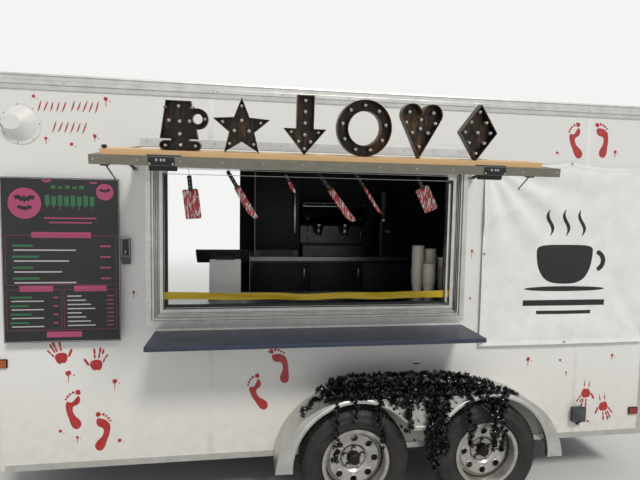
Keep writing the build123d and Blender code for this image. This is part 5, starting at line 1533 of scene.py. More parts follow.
class TRAILER_OT_banner(bpy.types.Operator):
    """Vinyl banner hung by its eyelets, with its welded hem and plain print"""
    bl_idname = "trailer.banner"
    bl_label = "Banner"

    LO = (0.432, 0.985)          # lower front corner: x from the axle pair, height
    SIDE = 1.22
    THICK = 0.0005
    HEM = 0.026
    EYES = (0.013, 0.610, 1.207)
    SAG = 0.030
    INK = 0.0003
    # Corner as shares of width and height, folds in its quarter turn, and their strength
    CORNERS = ((0, 1, 15, 1.0), (1, 1, 11, 0.40), (0, 0, 9, 0.35), (1, 0, 12, 0.35))
    CELL = 0.012                 # size of the cells that printed work is cut into

    def lift(self, across, up):
        """How far the vinyl stands off the skin at a place in metres from its lower corner."""
        u, v = across / self.SIDE, up / self.SIDE
        # A belly over the whole sheet, folds that fan out of each corner, and two sizes of ripple
        total = 0.16 * math.sin(math.pi * u) * math.sin(math.pi * v)
        for at_u, at_v, folds, strength in self.CORNERS:
            reach = math.hypot(u - at_u, v - at_v)
            way = math.atan2(abs(v - at_v), abs(u - at_u) + 1e-9)
            swell = math.sin(math.pi * min(1, reach / 0.75)) ** 1.4
            total += strength * swell * (0.5 + 0.5 * math.sin(way * folds + 5 * at_u))
        total += 0.22 * (1 + noise.noise(Vector((u * 4.3, v * 4.3, 2.5))))
        total += 0.07 * (1 + noise.noise(Vector((u * 6, v * 24 + u * 3, 7.5))))
        # The front edge gapes above its middle, a pull runs up from there, and the foot hangs clear
        total += 0.9 * math.exp(-((v - 0.74) / 0.15) ** 2) * math.exp(-u / 0.06)
        total += 0.5 * math.exp(-((v - 0.66 - 0.45 * u) / 0.035) ** 2) * math.exp(-(u / 0.35) ** 2)
        clear = 0.012 * (1 - v) ** 2 + 0.006 * max(0, 1 - v / 0.021)
        return 0.0016 + clear + 0.62 * bpy.context.scene.trailer_sizes.fold * total

    def execute(self, context):
        bm = bmesh.new()
        bmesh.ops.create_grid(bm, x_segments=110, y_segments=110, size=self.SIDE / 2)
        bmesh.ops.translate(bm, verts=bm.verts, vec=(self.SIDE / 2, self.SIDE / 2, 0))
        self.lay(bm, 0)
        bmesh.ops.triangulate(bm, faces=bm.faces)
        bmesh.ops.solidify(bm, geom=bm.faces, thickness=self.THICK)
        sheet = piece("vinyl_banner", bm, ["banner"], replaces=("banner",), angle=60)
        hem = bmesh.new()
        side, wide = self.SIDE, self.HEM
        drawn(hem, [((0, 0), (side, 0), (side, side), (0, side)),
                    ((wide, wide), (side - wide, wide), (side - wide, side - wide), (wide, side - wide))],
              self.THICK, smooth=False)
        self.follow(hem, 0.0006)
        hem = piece("banner_hem", hem, ["banner"], angle=60)
        ink = bmesh.new()
        self.cup(ink)
        self.follow(ink, 0.0007)
        ink = piece("banner_print", ink, ["black_ink"], angle=60)
        eyes = bmesh.new()
        for across in self.EYES:
            for up in self.EYES:
                if across in self.EYES[::2] or up in self.EYES[::2]:
                    self.eyelet(eyes, ON_SKIN @ self.hung(across, up, 0.0010), hooked=up == self.EYES[-1])
        eyes = piece("banner_eyelets", eyes, ["zinc", "black_plastic"])
        return {"FINISHED"}

    def eyelet(self, bm, spot, hooked):
        """A rolled ring round a dark hole, and in the top row the hook that holds it."""
        ring = ((0.0050, 0.0), (0.0050, 0.0018), (0.0066, 0.0027), (0.0098, 0.0022), (0.0112, 0.0008),
                (0.0112, 0.0), (0.0050, 0.0))
        turned(bm, ring, spot, (0, -1, 0), steps=20)
        rod(bm, spot, spot + Vector((0, -0.0005, 0)), 0.0051, sides=16, slot=1)
        if hooked:
            rod(bm, spot + Vector((0, 0.010, 0)), spot + Vector((0, -0.007, 0)), 0.0020, sides=10)
            rod(bm, spot + Vector((0, -0.006, 0)), spot + Vector((0, -0.006, 0.014)), 0.0020, sides=10,
                edge=0.0005)

    def hung(self, across, up, off):
        """Where a place on the flat sheet hangs: its top edge sags between the hooks."""
        sag = self.SAG * abs(math.sin(2 * math.pi * across / self.SIDE)) * (up / self.SIDE) ** 5
        return Vector((self.LO[0] + across, self.LO[1] + up - sag, self.lift(across, up) + off))

    def lay(self, bm, off):
        """Move flat work onto the folds, its own height kept on top of them."""
        for vert in bm.verts:
            across, up, high = vert.co
            vert.co = ON_SKIN @ self.hung(across, up, off + high)

    def follow(self, bm, off):
        """Cut flat work into small cells so that it can follow the folds, and lay it."""
        for normal in (Vector((1, 0, 0)), Vector((0, 1, 0))):
            for place in steps_between(0, self.SIDE, self.CELL)[1:-1]:
                bmesh.ops.bisect_plane(bm, geom=bm.verts[:] + bm.edges[:] + bm.faces[:], dist=1e-6,
                                       plane_co=normal * place, plane_no=normal)
        self.lay(bm, off)

    def cup(self, bm):
        """A plain steaming cup on its saucer, over two bars."""
        body = [(0.385, 0.672), (0.600, 0.672), (0.795, 0.672), (0.800, 0.610), (0.780, 0.500),
                (0.715, 0.420), (0.600, 0.406), (0.465, 0.420), (0.400, 0.500), (0.380, 0.610)]
        saucer = [(0.600 + 0.300 * math.cos(t), 0.376 + 0.017 * math.sin(t))
                  for t in steps_between(0, 5.9, 0.4)]
        arc = steps_between(-1.15, 1.25, 0.2)
        handle = [(0.806 + 0.092 * math.cos(t), 0.565 + 0.080 * math.sin(t)) for t in arc]
        handle += [(0.806 + 0.058 * math.cos(t), 0.565 + 0.050 * math.sin(t)) for t in reversed(arc)]
        drawn(bm, [body, saucer, handle], self.INK)
        climb = steps_between(0, 1, 0.1)
        for start_at in (0.475, 0.590, 0.705):
            bend = [start_at + 0.022 * math.sin(6.0 * t) for t in climb]
            half = [0.014 * math.sin(3.1 * t) for t in climb]
            rise = [0.725 + 0.190 * t for t in climb]
            steam = [(x - wide, z) for x, wide, z in zip(bend, half, rise)]
            back = [(x + wide, z) for x, wide, z in zip(bend, half, rise)]
            drawn(bm, [steam + back[-2:0:-1]], self.INK)
        drawn(bm, [((0.30, 0.262), (0.90, 0.262), (0.90, 0.300), (0.30, 0.300)),
                   ((0.40, 0.205), (0.80, 0.205), (0.80, 0.228), (0.40, 0.228))], self.INK, smooth=False)


class TRAILER_OT_board(bpy.types.Operator):
    """Ribbons, ruled lines and small icons printed on the menu board"""
    bl_idname = "trailer.board"
    bl_label = "Menu board print"

    LO, HI = (-2.432, 1.088), (-1.806, 2.020)
    FACE = 0.0460
    INK = 0.0003

    def execute(self, context):
        bm = bmesh.new()
        pink, green, pale = [], [], []
        self.frame(pale, 0.004, 0.004, 0.996, 0.996, 0.0022)
        # Heading: two rows of short green bars with drips under the lower one
        for row, tall, first, last in ((0.945, 0.020, 0.42, 0.72), (0.865, 0.062, 0.37, 0.80)):
            foot = row - tall / 2
            for i, u in enumerate(steps_between(first, last, 0.055)[:-1]):
                self.bar(green, u, foot, u + 0.038, row + tall / 2 - 0.006 * (i % 2))
                if tall > 0.05:
                    self.bar(green, u + 0.012, foot - 0.010 - 0.008 * (i % 3), u + 0.020, foot - 0.002)
        for u, v, wide in ((0.36, 0.755, 0.44), (0.40, 0.728, 0.36)):
            self.bar(pink, u, v, u + wide, v + 0.008)
        self.frame(pink, 0.03, 0.352, 0.965, 0.655, 0.0014)
        self.frame(pink, 0.03, 0.075, 0.490, 0.325, 0.0014)
        self.frame(pink, 0.510, 0.075, 0.965, 0.325, 0.0014)
        for u, v, wide in ((0.25, 0.640, 0.50), (0.14, 0.313, 0.28), (0.60, 0.313, 0.28),
                           (0.36, 0.030, 0.30)):
            self.bar(pink, u, v, u + wide, v + 0.034)
        for i in range(4):
            v = 0.585 - 0.066 * i
            self.bar(green, 0.09, v, 0.26 + 0.05 * (i % 2), v + 0.013)
            self.bar(pale, 0.10, v - 0.024, 0.62 - 0.06 * (i % 3), v - 0.016)
            self.bar(pink, 0.83, v, 0.92, v + 0.010)
        for i in range(4):
            v = 0.272 - 0.052 * i
            self.bar(green, 0.06, v, 0.24 - 0.03 * (i % 2), v + 0.011)
            self.bar(pale, 0.07, v - 0.021, 0.34, v - 0.014)
            self.bar(pink, 0.42, v, 0.46, v + 0.008)
        for i in range(8):
            v = 0.280 - 0.026 * i
            self.bar(pale, 0.54, v, 0.66 + 0.04 * (i * 5 % 4), v + 0.007)
            self.bar(pink, 0.88, v, 0.94, v + 0.007)
        place = ON_SKIN @ Matrix.Translation((0, 0, self.FACE))
        for slot, bars in enumerate((pink, green, pale)):
            drawn(bm, bars, self.INK, slot=slot, place=place, smooth=False)
        round_at = steps_between(0, 5.9, 0.45)
        for u, v, radius in ((0.20, 0.845, 0.088), (0.875, 0.920, 0.048)):
            x, z = self.spot(u, v)
            disc = [(x + radius * math.cos(t), z + radius * math.sin(t)) for t in round_at]
            drawn(bm, [disc], self.INK, place=place)
        front = place @ Matrix.Translation((0, 0, 0.0004))
        for u, v, wide, slot in ((0.20, 0.870, 0.110, 3), (0.20, 0.815, 0.080, 3), (0.875, 0.925, 0.060, 3),
                                 (0.385, 0.978, 0.050, 0), (0.780, 0.972, 0.040, 0)):
            self.bat(bm, u, v, wide, slot, front)
        piece("menu_print", bm, ["pink_ink", "green_ink", "pale_ink", "black_ink"])
        caps = bmesh.new()
        for x in (self.LO[0] + 0.06, self.HI[0] - 0.06):
            for z in (self.LO[1] + 0.06, self.HI[1] - 0.06):
                spot = ON_SKIN @ Vector((x, z, self.FACE))
                turned(caps, ((0.0, 0.0026), (0.006, 0.0024), (0.0085, 0.0008), (0.0085, 0.0), (0.0, 0.0)),
                       spot, (0, -1, 0), steps=20)
        piece("board_caps", caps, ["black_plastic"])
        return {"FINISHED"}

    def spot(self, u, v):
        """A place on the skin's axes at a share of the board's width and height."""
        return self.LO[0] + (self.HI[0] - self.LO[0]) * u, self.LO[1] + (self.HI[1] - self.LO[1]) * v

    def bar(self, bars, u0, v0, u1, v1):
        """Note a bar between two shares of the board."""
        (x0, z0), (x1, z1) = self.spot(u0, v0), self.spot(u1, v1)
        bars.append(((x0, z0), (x1, z0), (x1, z1), (x0, z1)))

    def frame(self, bars, u0, v0, u1, v1, wide):
        """Note a ruled frame: an outline and its inner edge."""
        (x0, z0), (x1, z1) = self.spot(u0, v0), self.spot(u1, v1)
        for inset in (0, wide):
            bars.append(((x0 + inset, z0 + inset), (x1 - inset, z0 + inset), (x1 - inset, z1 - inset),
                         (x0 + inset, z1 - inset)))

    def bat(self, bm, u, v, wide, slot, place):
        """A small spread-winged bat."""
        x, z = self.spot(u, v)
        half = ((0.0, 0.10), (0.05, 0.20), (0.09, 0.08), (0.25, 0.22), (0.50, 0.16), (0.42, -0.04),
                (0.27, 0.0), (0.20, -0.12), (0.09, -0.06), (0.0, -0.20))
        outline = [(x + wide * px, z + wide * pz) for px, pz in half]
        outline += [(x - wide * px, z + wide * pz) for px, pz in half[-2:0:-1]]
        drawn(bm, [outline], self.INK, slot=slot, place=place, smooth=False)


class TRAILER_OT_prints(bpy.types.Operator):
    """Red cling prints on the skin: feet, hands, scratches and drops"""
    bl_idname = "trailer.prints"
    bl_label = "Cling prints"

    # Outlines in millimetres from the middle of each print
    SOLE = ((8, 82), (20, 54), (12, 30), (-8, 18), (-12, 4), (-6, -16), (12, -38), (38, -50), (60, -70),
            (63, -94), (48, -116), (24, -114), (4, -94), (-12, -66), (-32, -38), (-48, -6), (-56, 22),
            (-50, 36), (-28, 32), (-18, 44), (-10, 64), (-4, 80))
    # The other foot's sole, filled out to the toes across its ball
    FULL_SOLE = (*SOLE[:18], (-40, 58), (-20, 72), (-4, 80))
    # Middle and size of each toe
    TOES = ((-6, 103, 15), (-33, 95, 8), (-47, 80, 7), (-55, 64, 7), (-61, 47, 6))
    PALM = ((-38, -28), (-30, -10), (-12, -2), (10, 0), (29, -7), (35, -28), (29, -52), (17, -69), (0, -60),
            (-12, -69), (-29, -52))
    # Joints of the fingers: tip, root and half width
    FINGERS = ((-65, 2, -44, -30, 7), (-11, 62, -9, 38, 6), (-9, 29, -8, 10, 5), (24, 67, 20, 42, 6),
               (18, 32, 14, 11, 5), (41, 57, 36, 35, 6), (33, 27, 27, 8, 5), (62, 26, 51, 9, 5),
               (46, 1, 39, -14, 5))
    # Two runs drawn out from the heel of a hand that hangs down
    RUNS = (((-25, -80), (-21, -106), (-19, -134), (-17, -106), (-14, -80)),
            ((12, -80), (15, -112), (17, -150), (19, -112), (23, -80)))
    # Middle as x from the axle pair and height, turn in degrees, and -1 for a mirrored one
    FEET = ((-2.083, 0.671, -16, 1), (-1.932, 0.531, 14, -1), (-0.874, 0.897, 38, -1),
            (-1.012, 0.729, 0, 1), (1.072, 2.352, -8, 1), (1.262, 2.365, 28, -1))
    HANDS = ((-2.156, 1.012, 12, -1), (-1.957, 0.965, 0, 1), (1.246, 0.590, 176, 1),
             (1.396, 0.490, 190, -1))
    # Place, then size and length of tail in millimetres
    DROPS = (
        (-2.265, 2.471, 9, 0), (-1.884, 2.474, 11, 34), (-2.206, 2.242, 8, 26), (-2.070, 2.214, 10, 0),
        (-1.946, 2.263, 10, 22), (-2.113, 0.888, 15, 42), (-1.856, 0.830, 13, 46), (-2.163, 0.541, 9, 0),
        (-2.070, 0.499, 8, 30), (-1.832, 0.467, 11, 0), (-1.743, 1.363, 8, 28), (0.938, 2.266, 9, 0),
        (1.365, 2.285, 11, 30), (0.366, 1.612, 9, 40), (0.366, 1.301, 7, 0), (1.040, 0.863, 8, 0),
        (1.090, 0.777, 7, 24), (0.801, 0.878, 12, 38), (1.276, 0.420, 9, 0), (1.436, 0.886, 10, 30),
    )
    # Claw scratches in two rows: left end, height, count
    SCRATCHES = ((-2.235, 2.418, 5), (-2.060, 2.425, 5), (-2.160, 2.306, 6))
    SCRATCH_PITCH = 0.032
    THICK = 0.0006

    def execute(self, context):
        pick = random.Random(12)
        shapes = []
        for x, z, turn, flip in self.FEET:
            sole = self.SOLE if flip > 0 else self.FULL_SOLE
            self.stamp(shapes, [sole, *[self.blob(pick, *toe) for toe in self.TOES]], x, z, turn, flip)
        for x, z, turn, flip in self.HANDS:
            runs = self.RUNS if turn > 90 else ()
            fingers = [self.pad(*finger) for finger in self.FINGERS]
            self.stamp(shapes, [self.PALM, *fingers, *runs], x, z, turn, flip)
        for x, z, size, tail in self.DROPS:
            self.stamp(shapes, [self.blob(pick, 0, 0, size, tail)], x, z, 0, 1)
            self.stamp(shapes, [self.blob(pick, 0, 0, size * 0.3)], x + size * 0.0021, z - 0.013, 0, 1)
        for x, z, count in self.SCRATCHES:
            for i in range(count):
                tall = pick.uniform(32, 44)
                claw = ((-2, -tall), (5, -tall * 0.3), (3, tall * 0.5), (0, tall), (-4, tall * 0.4),
                        (-3, -tall * 0.4))
                self.stamp(shapes, [claw], x + self.SCRATCH_PITCH * i, z, pick.uniform(-24, -14), 1)
        bm = bmesh.new()
        drawn(bm, shapes, self.THICK, place=ON_SKIN @ Matrix.Translation((0, 0, 0.0001)))
        piece("cling_prints", bm, ["cling"])
        return {"FINISHED"}

    def stamp(self, shapes, outlines, x, z, turn, flip):
        """Place outlines given in millimetres."""
        place = (Matrix.Translation((x, z, 0)) @ Matrix.Rotation(math.radians(turn), 4, "Z")
                 @ Matrix.Diagonal((flip * 0.001, 0.001, 1, 1)))
        for outline in outlines:
            shapes.append([(place @ Vector((px, py, 0))).to_2d() for px, py in outline])

    def blob(self, pick, x, y, size, tail=0):
        """A drop with an uneven rim, and a tail that ran down from it."""
        outline = []
        for i in range(12):
            turn = math.radians(30 * i - 90)
            reach = size * pick.uniform(0.85, 1.25)
            if i == 0 and tail:
                foot = y - size
                outline += [(x - 2.2, foot), (x - 1.4, foot - tail), (x + 1.4, foot - tail), (x + 2.2, foot)]
            else:
                outline.append((x + reach * math.cos(turn), y + reach * math.sin(turn)))
        return outline

    def pad(self, x0, y0, x1, y1, wide):
        """One joint of a finger between two points."""
        along = Vector((x1 - x0, y1 - y0)).normalized() * wide
        across = Vector((-along.y, along.x))
        first, last = Vector((x0, y0)), Vector((x1, y1))
        return [first - along, first - along * 0.4 + across, last + along * 0.4 + across, last + along,
                last + along * 0.4 - across, first - along * 0.4 - across]


class TRAILER_OT_vents(bpy.types.Operator):
    """Flange screws and slots of the scoop vents, and the roof vent's screws and hinge"""
    bl_idname = "trailer.vents"
    bl_label = "Vents"

    SCOOPS = ((-1, -2.333), (1, 1.250))  # side, and x from the axle pair
    MID_Z = 2.318
    SCREW_CIRCLE = 0.0975
    ROOF = (-0.700, 2.653)       # roof vent: x from the axle pair, top of its flange

    def execute(self, context):
        heads, slots = bmesh.new(), bmesh.new()
        for side, at_x in self.SCOOPS:
            skin = side * -SKIN
            for turn in (0, 50, 100, 152, 208, 260, 310):
                across = self.SCREW_CIRCLE * math.cos(math.radians(turn))
                up = self.SCREW_CIRCLE * math.sin(math.radians(turn))
                # The flange is a little taller than wide
                up += math.copysign(0.0086, up) if turn else 0
                screws(heads, [(PAIR + at_x + across, skin + side * 0.004, self.MID_Z + up)],
                       (0, side, 0), radius=0.0048)
            for off in (0.012, 0.021, 0.030):
                half = 0.030 - off * 0.4
                block(slots, (PAIR + at_x - 0.0925, skin + side * off, self.MID_Z - half),
                      (PAIR + at_x - 0.0840, skin + side * (off + 0.004), self.MID_Z + half), edge=0.0008)
        middle = PAIR + self.ROOF[0]
        for x in (-0.185, 0, 0.185):
            for y in (-0.185, 0, 0.185):
                if x or y:
                    screws(heads, [(middle + x, y, self.ROOF[1] - 0.001)], (0, 0, 1), radius=HEAD_10)
        # Hinge of the roof vent's lid
        rod(slots, (middle + 0.178, -0.13, 2.664), (middle + 0.178, 0.13, 2.664), 0.006, sides=12,
            edge=0.001)
        piece("vent_screws", heads, ["zinc"])
        piece("vent_slots", slots, ["black_plastic"])
        return {"FINISHED"}


class TRAILER_OT_power(bpy.types.Operator):
    """Lid, boss and gland of the power inlet, and the fittings of the box beside the board"""
    bl_idname = "trailer.power"
    bl_label = "Power boxes"

    def execute(self, context):
        bm = bmesh.new()
        # Inlet: its lid with a round boss, a hinge above and a catch below, and the gland under the box
        middle = 1.181
        block(bm, (1.146, 0.447, 0.0398), (1.216, 0.527, 0.0428), edge=0.002, place=ON_SKIN)
        turned(bm, ((0.0, 0.010), (0.014, 0.0095), (0.0200, 0.0060), (0.0215, 0.0), (0.0, 0.0)),
               ON_SKIN @ Vector((middle, 0.487, 0.0425)), (0, -1, 0), steps=28)
        rod(bm, (1.144, 0.5375, 0.036), (1.218, 0.5375, 0.036), 0.0042, sides=12, edge=0.0006, slot=1,
            place=ON_SKIN)
        block(bm, (1.168, 0.4335, 0.0385), (1.194, 0.4455, 0.0425), edge=0.0015, slot=1, place=ON_SKIN)
        gland = ((0.0, 0.0), (0.015, 0.0), (0.015, 0.006), (0.0115, 0.009), (0.0115, 0.020), (0.0, 0.020))
        turned(bm, gland, ON_SKIN @ Vector((middle, 0.4325, 0.018)), (0, 0, -1), steps=20, slot=1)
        # Box beside the board: dark upper half with a silver rim, and a small hook on its front edge
        block(bm, (-1.798, 1.580, 0.0295), (-1.759, 1.680, 0.0325), edge=0.0014, slot=1, place=ON_SKIN)
        lo_x, hi_x, low, high = -1.7995, -1.7575, 1.5812, 1.6795
        rims = (((lo_x, high), (hi_x, 1.6820)), ((lo_x, 1.5790), (hi_x, low)),
                ((lo_x, low), (-1.7975, high)), ((-1.7595, low), (hi_x, high)))
        blocks(bm, [((*lo, 0.0300), (*hi, 0.0332)) for lo, hi in rims], edge=0.0005, slot=2, place=ON_SKIN)
        hook = -1.778
        rod(bm, (hook, 1.610, 0.032), (hook, 1.610, 0.041), 0.0036, sides=12, edge=0.0006, slot=2,
            place=ON_SKIN)
        rod(bm, (hook, 1.611, 0.0395), (hook, 1.594, 0.0395), 0.0026, sides=10, edge=0.0005, slot=2,
            place=ON_SKIN)
        # A short dark grommet strip in the skin over the wheels
        block(bm, (-0.012, 0.8735, 0.0), (0.030, 0.8805, 0.0030), edge=0.0012, slot=1, place=ON_SKIN)
        block(bm, (-0.016, 0.8700, 0.0), (0.034, 0.8840, 0.0010), edge=0.0004, slot=2, place=ON_SKIN)
        piece("power_fittings", bm, ["grey_plastic", "black_plastic", "zinc"])
        return {"FINISHED"}


class TRAILER_OT_markers(bpy.types.Operator):
    """Bezels of the marker and tail lamps, and the plate bracket's bolts"""
    bl_idname = "trailer.markers"
    bl_label = "Lamps outside"

    SIDE_LAMPS = ((-2.472, 0.957), (1.622, 0.482))       # x from the axle pair, height
    TAIL = (0.88, 0.395)         # tail lamp's middle: distance from the trailer's middle, height
    TAIL_END = (0.0545, 0.028)   # where the lamp's round ends begin, and their radius
    PLATE_Y = -0.405

    def execute(self, context):
        bm = bmesh.new()
        along, across, up = Vector((1, 0, 0)), Vector((0, 1, 0)), Vector((0, 0, 1))
        for side in SIDES.values():
            for at_x, z in self.SIDE_LAMPS:
                self.bezel(bm, Vector((PAIR + at_x, side * -SKIN, z)), along, across * side, (0.033, 0.023))
            self.bezel(bm, Vector((FRONT, side * 0.85, 1.14)), across, -along, (0.031, 0.021))
        for y in (-0.16, 0, 0.16):
            self.bezel(bm, Vector((REAR, y, 2.4825)), across, along, (0.033, 0.0135))
        piece("lamp_bezels", bm, ["black_plastic"])
        rings, heads = bmesh.new(), bmesh.new()
        end_x, radius = self.TAIL_END
        bends = [math.radians(15 * i - 90) for i in range(13)]
        for side in SIDES.values():
            place = Matrix((across, up, along)).transposed().to_4x4()
            place.translation = (REAR, side * self.TAIL[0], self.TAIL[1])
            outlines = []
            for grow in (0.0065, 0.0):
                right = [(end_x + (radius + grow) * math.cos(t), (radius + grow) * math.sin(t))
                         for t in bends]
                outlines.append(right + [(-x, -z) for x, z in right])
            drawn(rings, outlines, 0.007, place=place, smooth=False)
            # Moulded bars across the lens
            for y in (-0.030, 0.030):
                block(rings, (y - 0.0016, -0.027, 0.017), (y + 0.0016, 0.027, 0.0192), edge=0.0006, slot=1,
                      place=place)
        screws(heads, [(REAR + 0.003, self.PLATE_Y + off, 0.425) for off in (-0.0889, 0.0889)],
               (1, 0, 0), radius=0.0065)
        screws(heads, [(REAR + 0.003, self.PLATE_Y + off, 0.360) for off in (-0.14, 0.14)],
               (1, 0, 0), radius=HEAD_8)
        piece("tail_rims", rings, ["black_plastic", "red_lens"])
        piece("bracket_bolts", heads, ["zinc"])
        return {"FINISHED"}

    def bezel(self, bm, middle, across, out, half):
        """A lamp's base rim: two long and two short bars round its lens."""
        wide, tall = half
        place = Matrix((across, Vector((0, 0, 1)), out)).transposed().to_4x4()
        place.translation = middle
        bars = (((-wide, tall - 0.001), (wide, tall + 0.003)),
                ((-wide, -tall - 0.003), (wide, -tall + 0.001)),
                ((-wide - 0.003, -tall), (-wide + 0.001, tall)),
                ((wide - 0.001, -tall), (wide + 0.003, tall)))
        blocks(bm, [((*lo, 0), (*hi, 0.006)) for lo, hi in bars], edge=0.0012, place=place)


class TRAILER_OT_doors(bpy.types.Operator):
    """Seals, hinge bolts, rod keepers and handles of the entry and rear doors"""
    bl_idname = "trailer.doors"
    bl_label = "Door hardware"

    BACK = 0.004                 # outer face of the rear doors behind the frame
    EDGE = 0.997                 # rear door's hinged edge from the middle
    ROD_Y = 0.26                 # lock rod's distance from the middle
    SWING = math.radians(97)
    AXIS = (-2.092, 1.081)       # entry door's hinge line
    WIDE = 0.925
    LEVER_Z = 1.390

    def execute(self, context):
        for name, side in SIDES.items():
            self.rear(name, side)
        self.entry()
        return {"FINISHED"}

    def rear(self, name, side):
        """Edge channels, hinge bolts and the lock rod's keepers and hasp."""
        bm = bmesh.new()
        face = REAR + self.BACK
        low, high, wide = 0.476, 2.392, 0.026
        for near, far, foot, top in ((0.0045, 0.030, low, high), (0.962, self.EDGE - 0.010, low, high),
                                     (0.030, 0.962, low, low + wide), (0.030, 0.962, high - wide, high)):
            block(bm, (face - 0.0005, side * near, foot), (face + 0.002, side * far, top), edge=0.0008)
        for z in (0.62, 1.25, 1.95, 2.28):
            screws(bm, [(REAR + 0.010, side * (self.EDGE - off), z + up) for off in (0.085, 0.045)
                        for up in (-0.010, 0.010)], (1, 0, 0), radius=0.0055, slot=1)
            pin = Vector((REAR + 0.014, side * (self.EDGE + 0.010), z))
            rod(bm, pin + Vector((0, 0, 0.049)), pin + Vector((0, 0, 0.056)), 0.010, sides=16,
                edge=0.001, slot=1)
        for z in (0.56, 1.00, 1.80, 2.30):
            screws(bm, [(REAR + 0.034, side * (self.ROD_Y + off), z + up) for off in (-0.017, 0.017)
                        for up in (-0.017, 0.017)], (1, 0, 0), radius=HEAD_9, slot=1)
            keeper = Vector((REAR + 0.034, side * self.ROD_Y, z))
            rod(bm, keeper - Vector((0, 0, 0.030)), keeper + Vector((0, 0, 0.030)), 0.0145, sides=20,
                edge=0.0015, slot=1)
        # Hasp
        block(bm, (REAR + 0.037, side * 0.120, 1.247), (REAR + 0.047, side * 0.162, 1.273), edge=0.004,
              slot=2)
        piece(f"rear_hardware_{name}", bm, ["aluminium", "zinc", "black_plastic"],
              body=f"rear_door_{name}")

    def entry(self):
        """Edge channels, lever, rose and hinge screws on both faces of the entry door."""
        along = Vector((math.cos(self.SWING), math.sin(self.SWING), 0))
        out = Vector((-along.y, along.x, 0))
        place = Matrix((along, out, Vector((0, 0, 1)))).transposed().to_4x4()
        place.translation = (PAIR + self.AXIS[0], self.AXIS[1], 0)
        outer, inner = -0.009, -0.054
        low, high, wide = 0.478, 2.370, 0.022
        free = self.WIDE - 0.024
        bm = bmesh.new()
        for face, way in ((outer, 1), (inner, -1)):
            near, far = face - way * 0.0006, face + way * 0.002
            for first, last, foot, top in ((0.012, 0.034, low, high), (free, free + wide, low, high),
                                           (0.034, free, low, low + wide),
                                           (0.034, free, high - wide, high)):
                block(bm, (first, near, foot), (last, far, top), edge=0.0007, place=place)
        # Kick plate
        block(bm, (0.05, outer - 0.0004, 0.52), (self.WIDE - 0.04, outer + 0.0012, 0.74), edge=0.0005,
              slot=3, place=place)
        for z in (0.700, 1.400, 2.150):
            for up in (0.018, 0.072):
                screws(bm, [place @ Vector((0.019, outer + 0.0045, z + up))], out, radius=HEAD_8, slot=1)
        lock, lever = self.WIDE - 0.075, self.LEVER_Z
        rod(bm, (lock, outer + 0.012, lever + 0.038), (lock, outer + 0.014, lever + 0.038), 0.009, sides=20,
            edge=0.0006, slot=1, place=place)
        for face, way in ((outer + 0.023, 1), (inner - 0.010, -1)):
            end_y = face + way * 0.018
            rod(bm, (lock, face, lever), (lock, face + way * 0.020, lever), 0.009, sides=16, edge=0.001,
                slot=1, place=place)
            rod(bm, (lock + 0.008, end_y, lever), (lock - 0.105, end_y, lever - 0.004), 0.0075, tip=0.006,
                sides=14, edge=0.0015, slot=1, place=place)
        piece("entry_hardware", bm, ["aluminium", "zinc", "black_plastic", "treadplate"],
              body="entry_door")


class TRAILER_OT_treads(bpy.types.Operator):
    """Raised lugs of the treadplate on the stone guard and the entry step"""
    bl_idname = "trailer.treads"
    bl_label = "Treadplate lugs"

    PITCH = 0.0286
    LUG = (0.0125, 0.0032, 0.0012)       # half length, half width and height
    STEP_Z = 0.275

    def execute(self, context):
        guard_lo, guard_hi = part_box("stone_guard")
        step_lo, step_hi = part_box("entry_step")
        front = Matrix(((0, 0, -1, guard_lo.x), (1, 0, 0, 0), (0, 1, 0, 0), (0, 0, 0, 1)))
        top = Matrix.Translation((0, 0, self.STEP_Z))
        bm = bmesh.new()
        self.lugs(bm, (guard_lo.y, guard_lo.z), (guard_hi.y, guard_hi.z), front)
        piece("guard_lugs", bm, ["treadplate"])
        bm = bmesh.new()
        self.lugs(bm, (step_lo.x + 0.008, 1.072), (step_hi.x - 0.008, step_hi.y), top)
        piece("step_lugs", bm, ["treadplate"])
        heads = bmesh.new()
        screws(heads, [(guard_lo.x, y, z) for y in steps_between(-0.96, 0.96, 0.24)
                       for z in (0.366, 0.984)], (-1, 0, 0), radius=HEAD_9)
        piece("guard_screws", heads, ["zinc"])
        return {"FINISHED"}

    def lugs(self, bm, lo, hi, place):
        """Lens-shaped lugs in two crossed directions, by turns."""
        long, wide, high = self.LUG
        for i, x in enumerate(steps_between(lo[0] + 0.02, hi[0] - 0.02, self.PITCH)):
            for j, y in enumerate(steps_between(lo[1] + 0.02, hi[1] - 0.02, self.PITCH)):
                turn = Matrix.Rotation(math.radians(45 if (i + j) % 2 else -45), 4, "Z")
                spot = Matrix.Translation((x, y, high / 2 - 0.0001))
                bmesh.ops.create_cone(bm, cap_ends=True, segments=8, radius1=1, radius2=0.45, depth=1,
                                      matrix=place @ spot @ turn @ Matrix.Diagonal((long, wide, high, 1)))


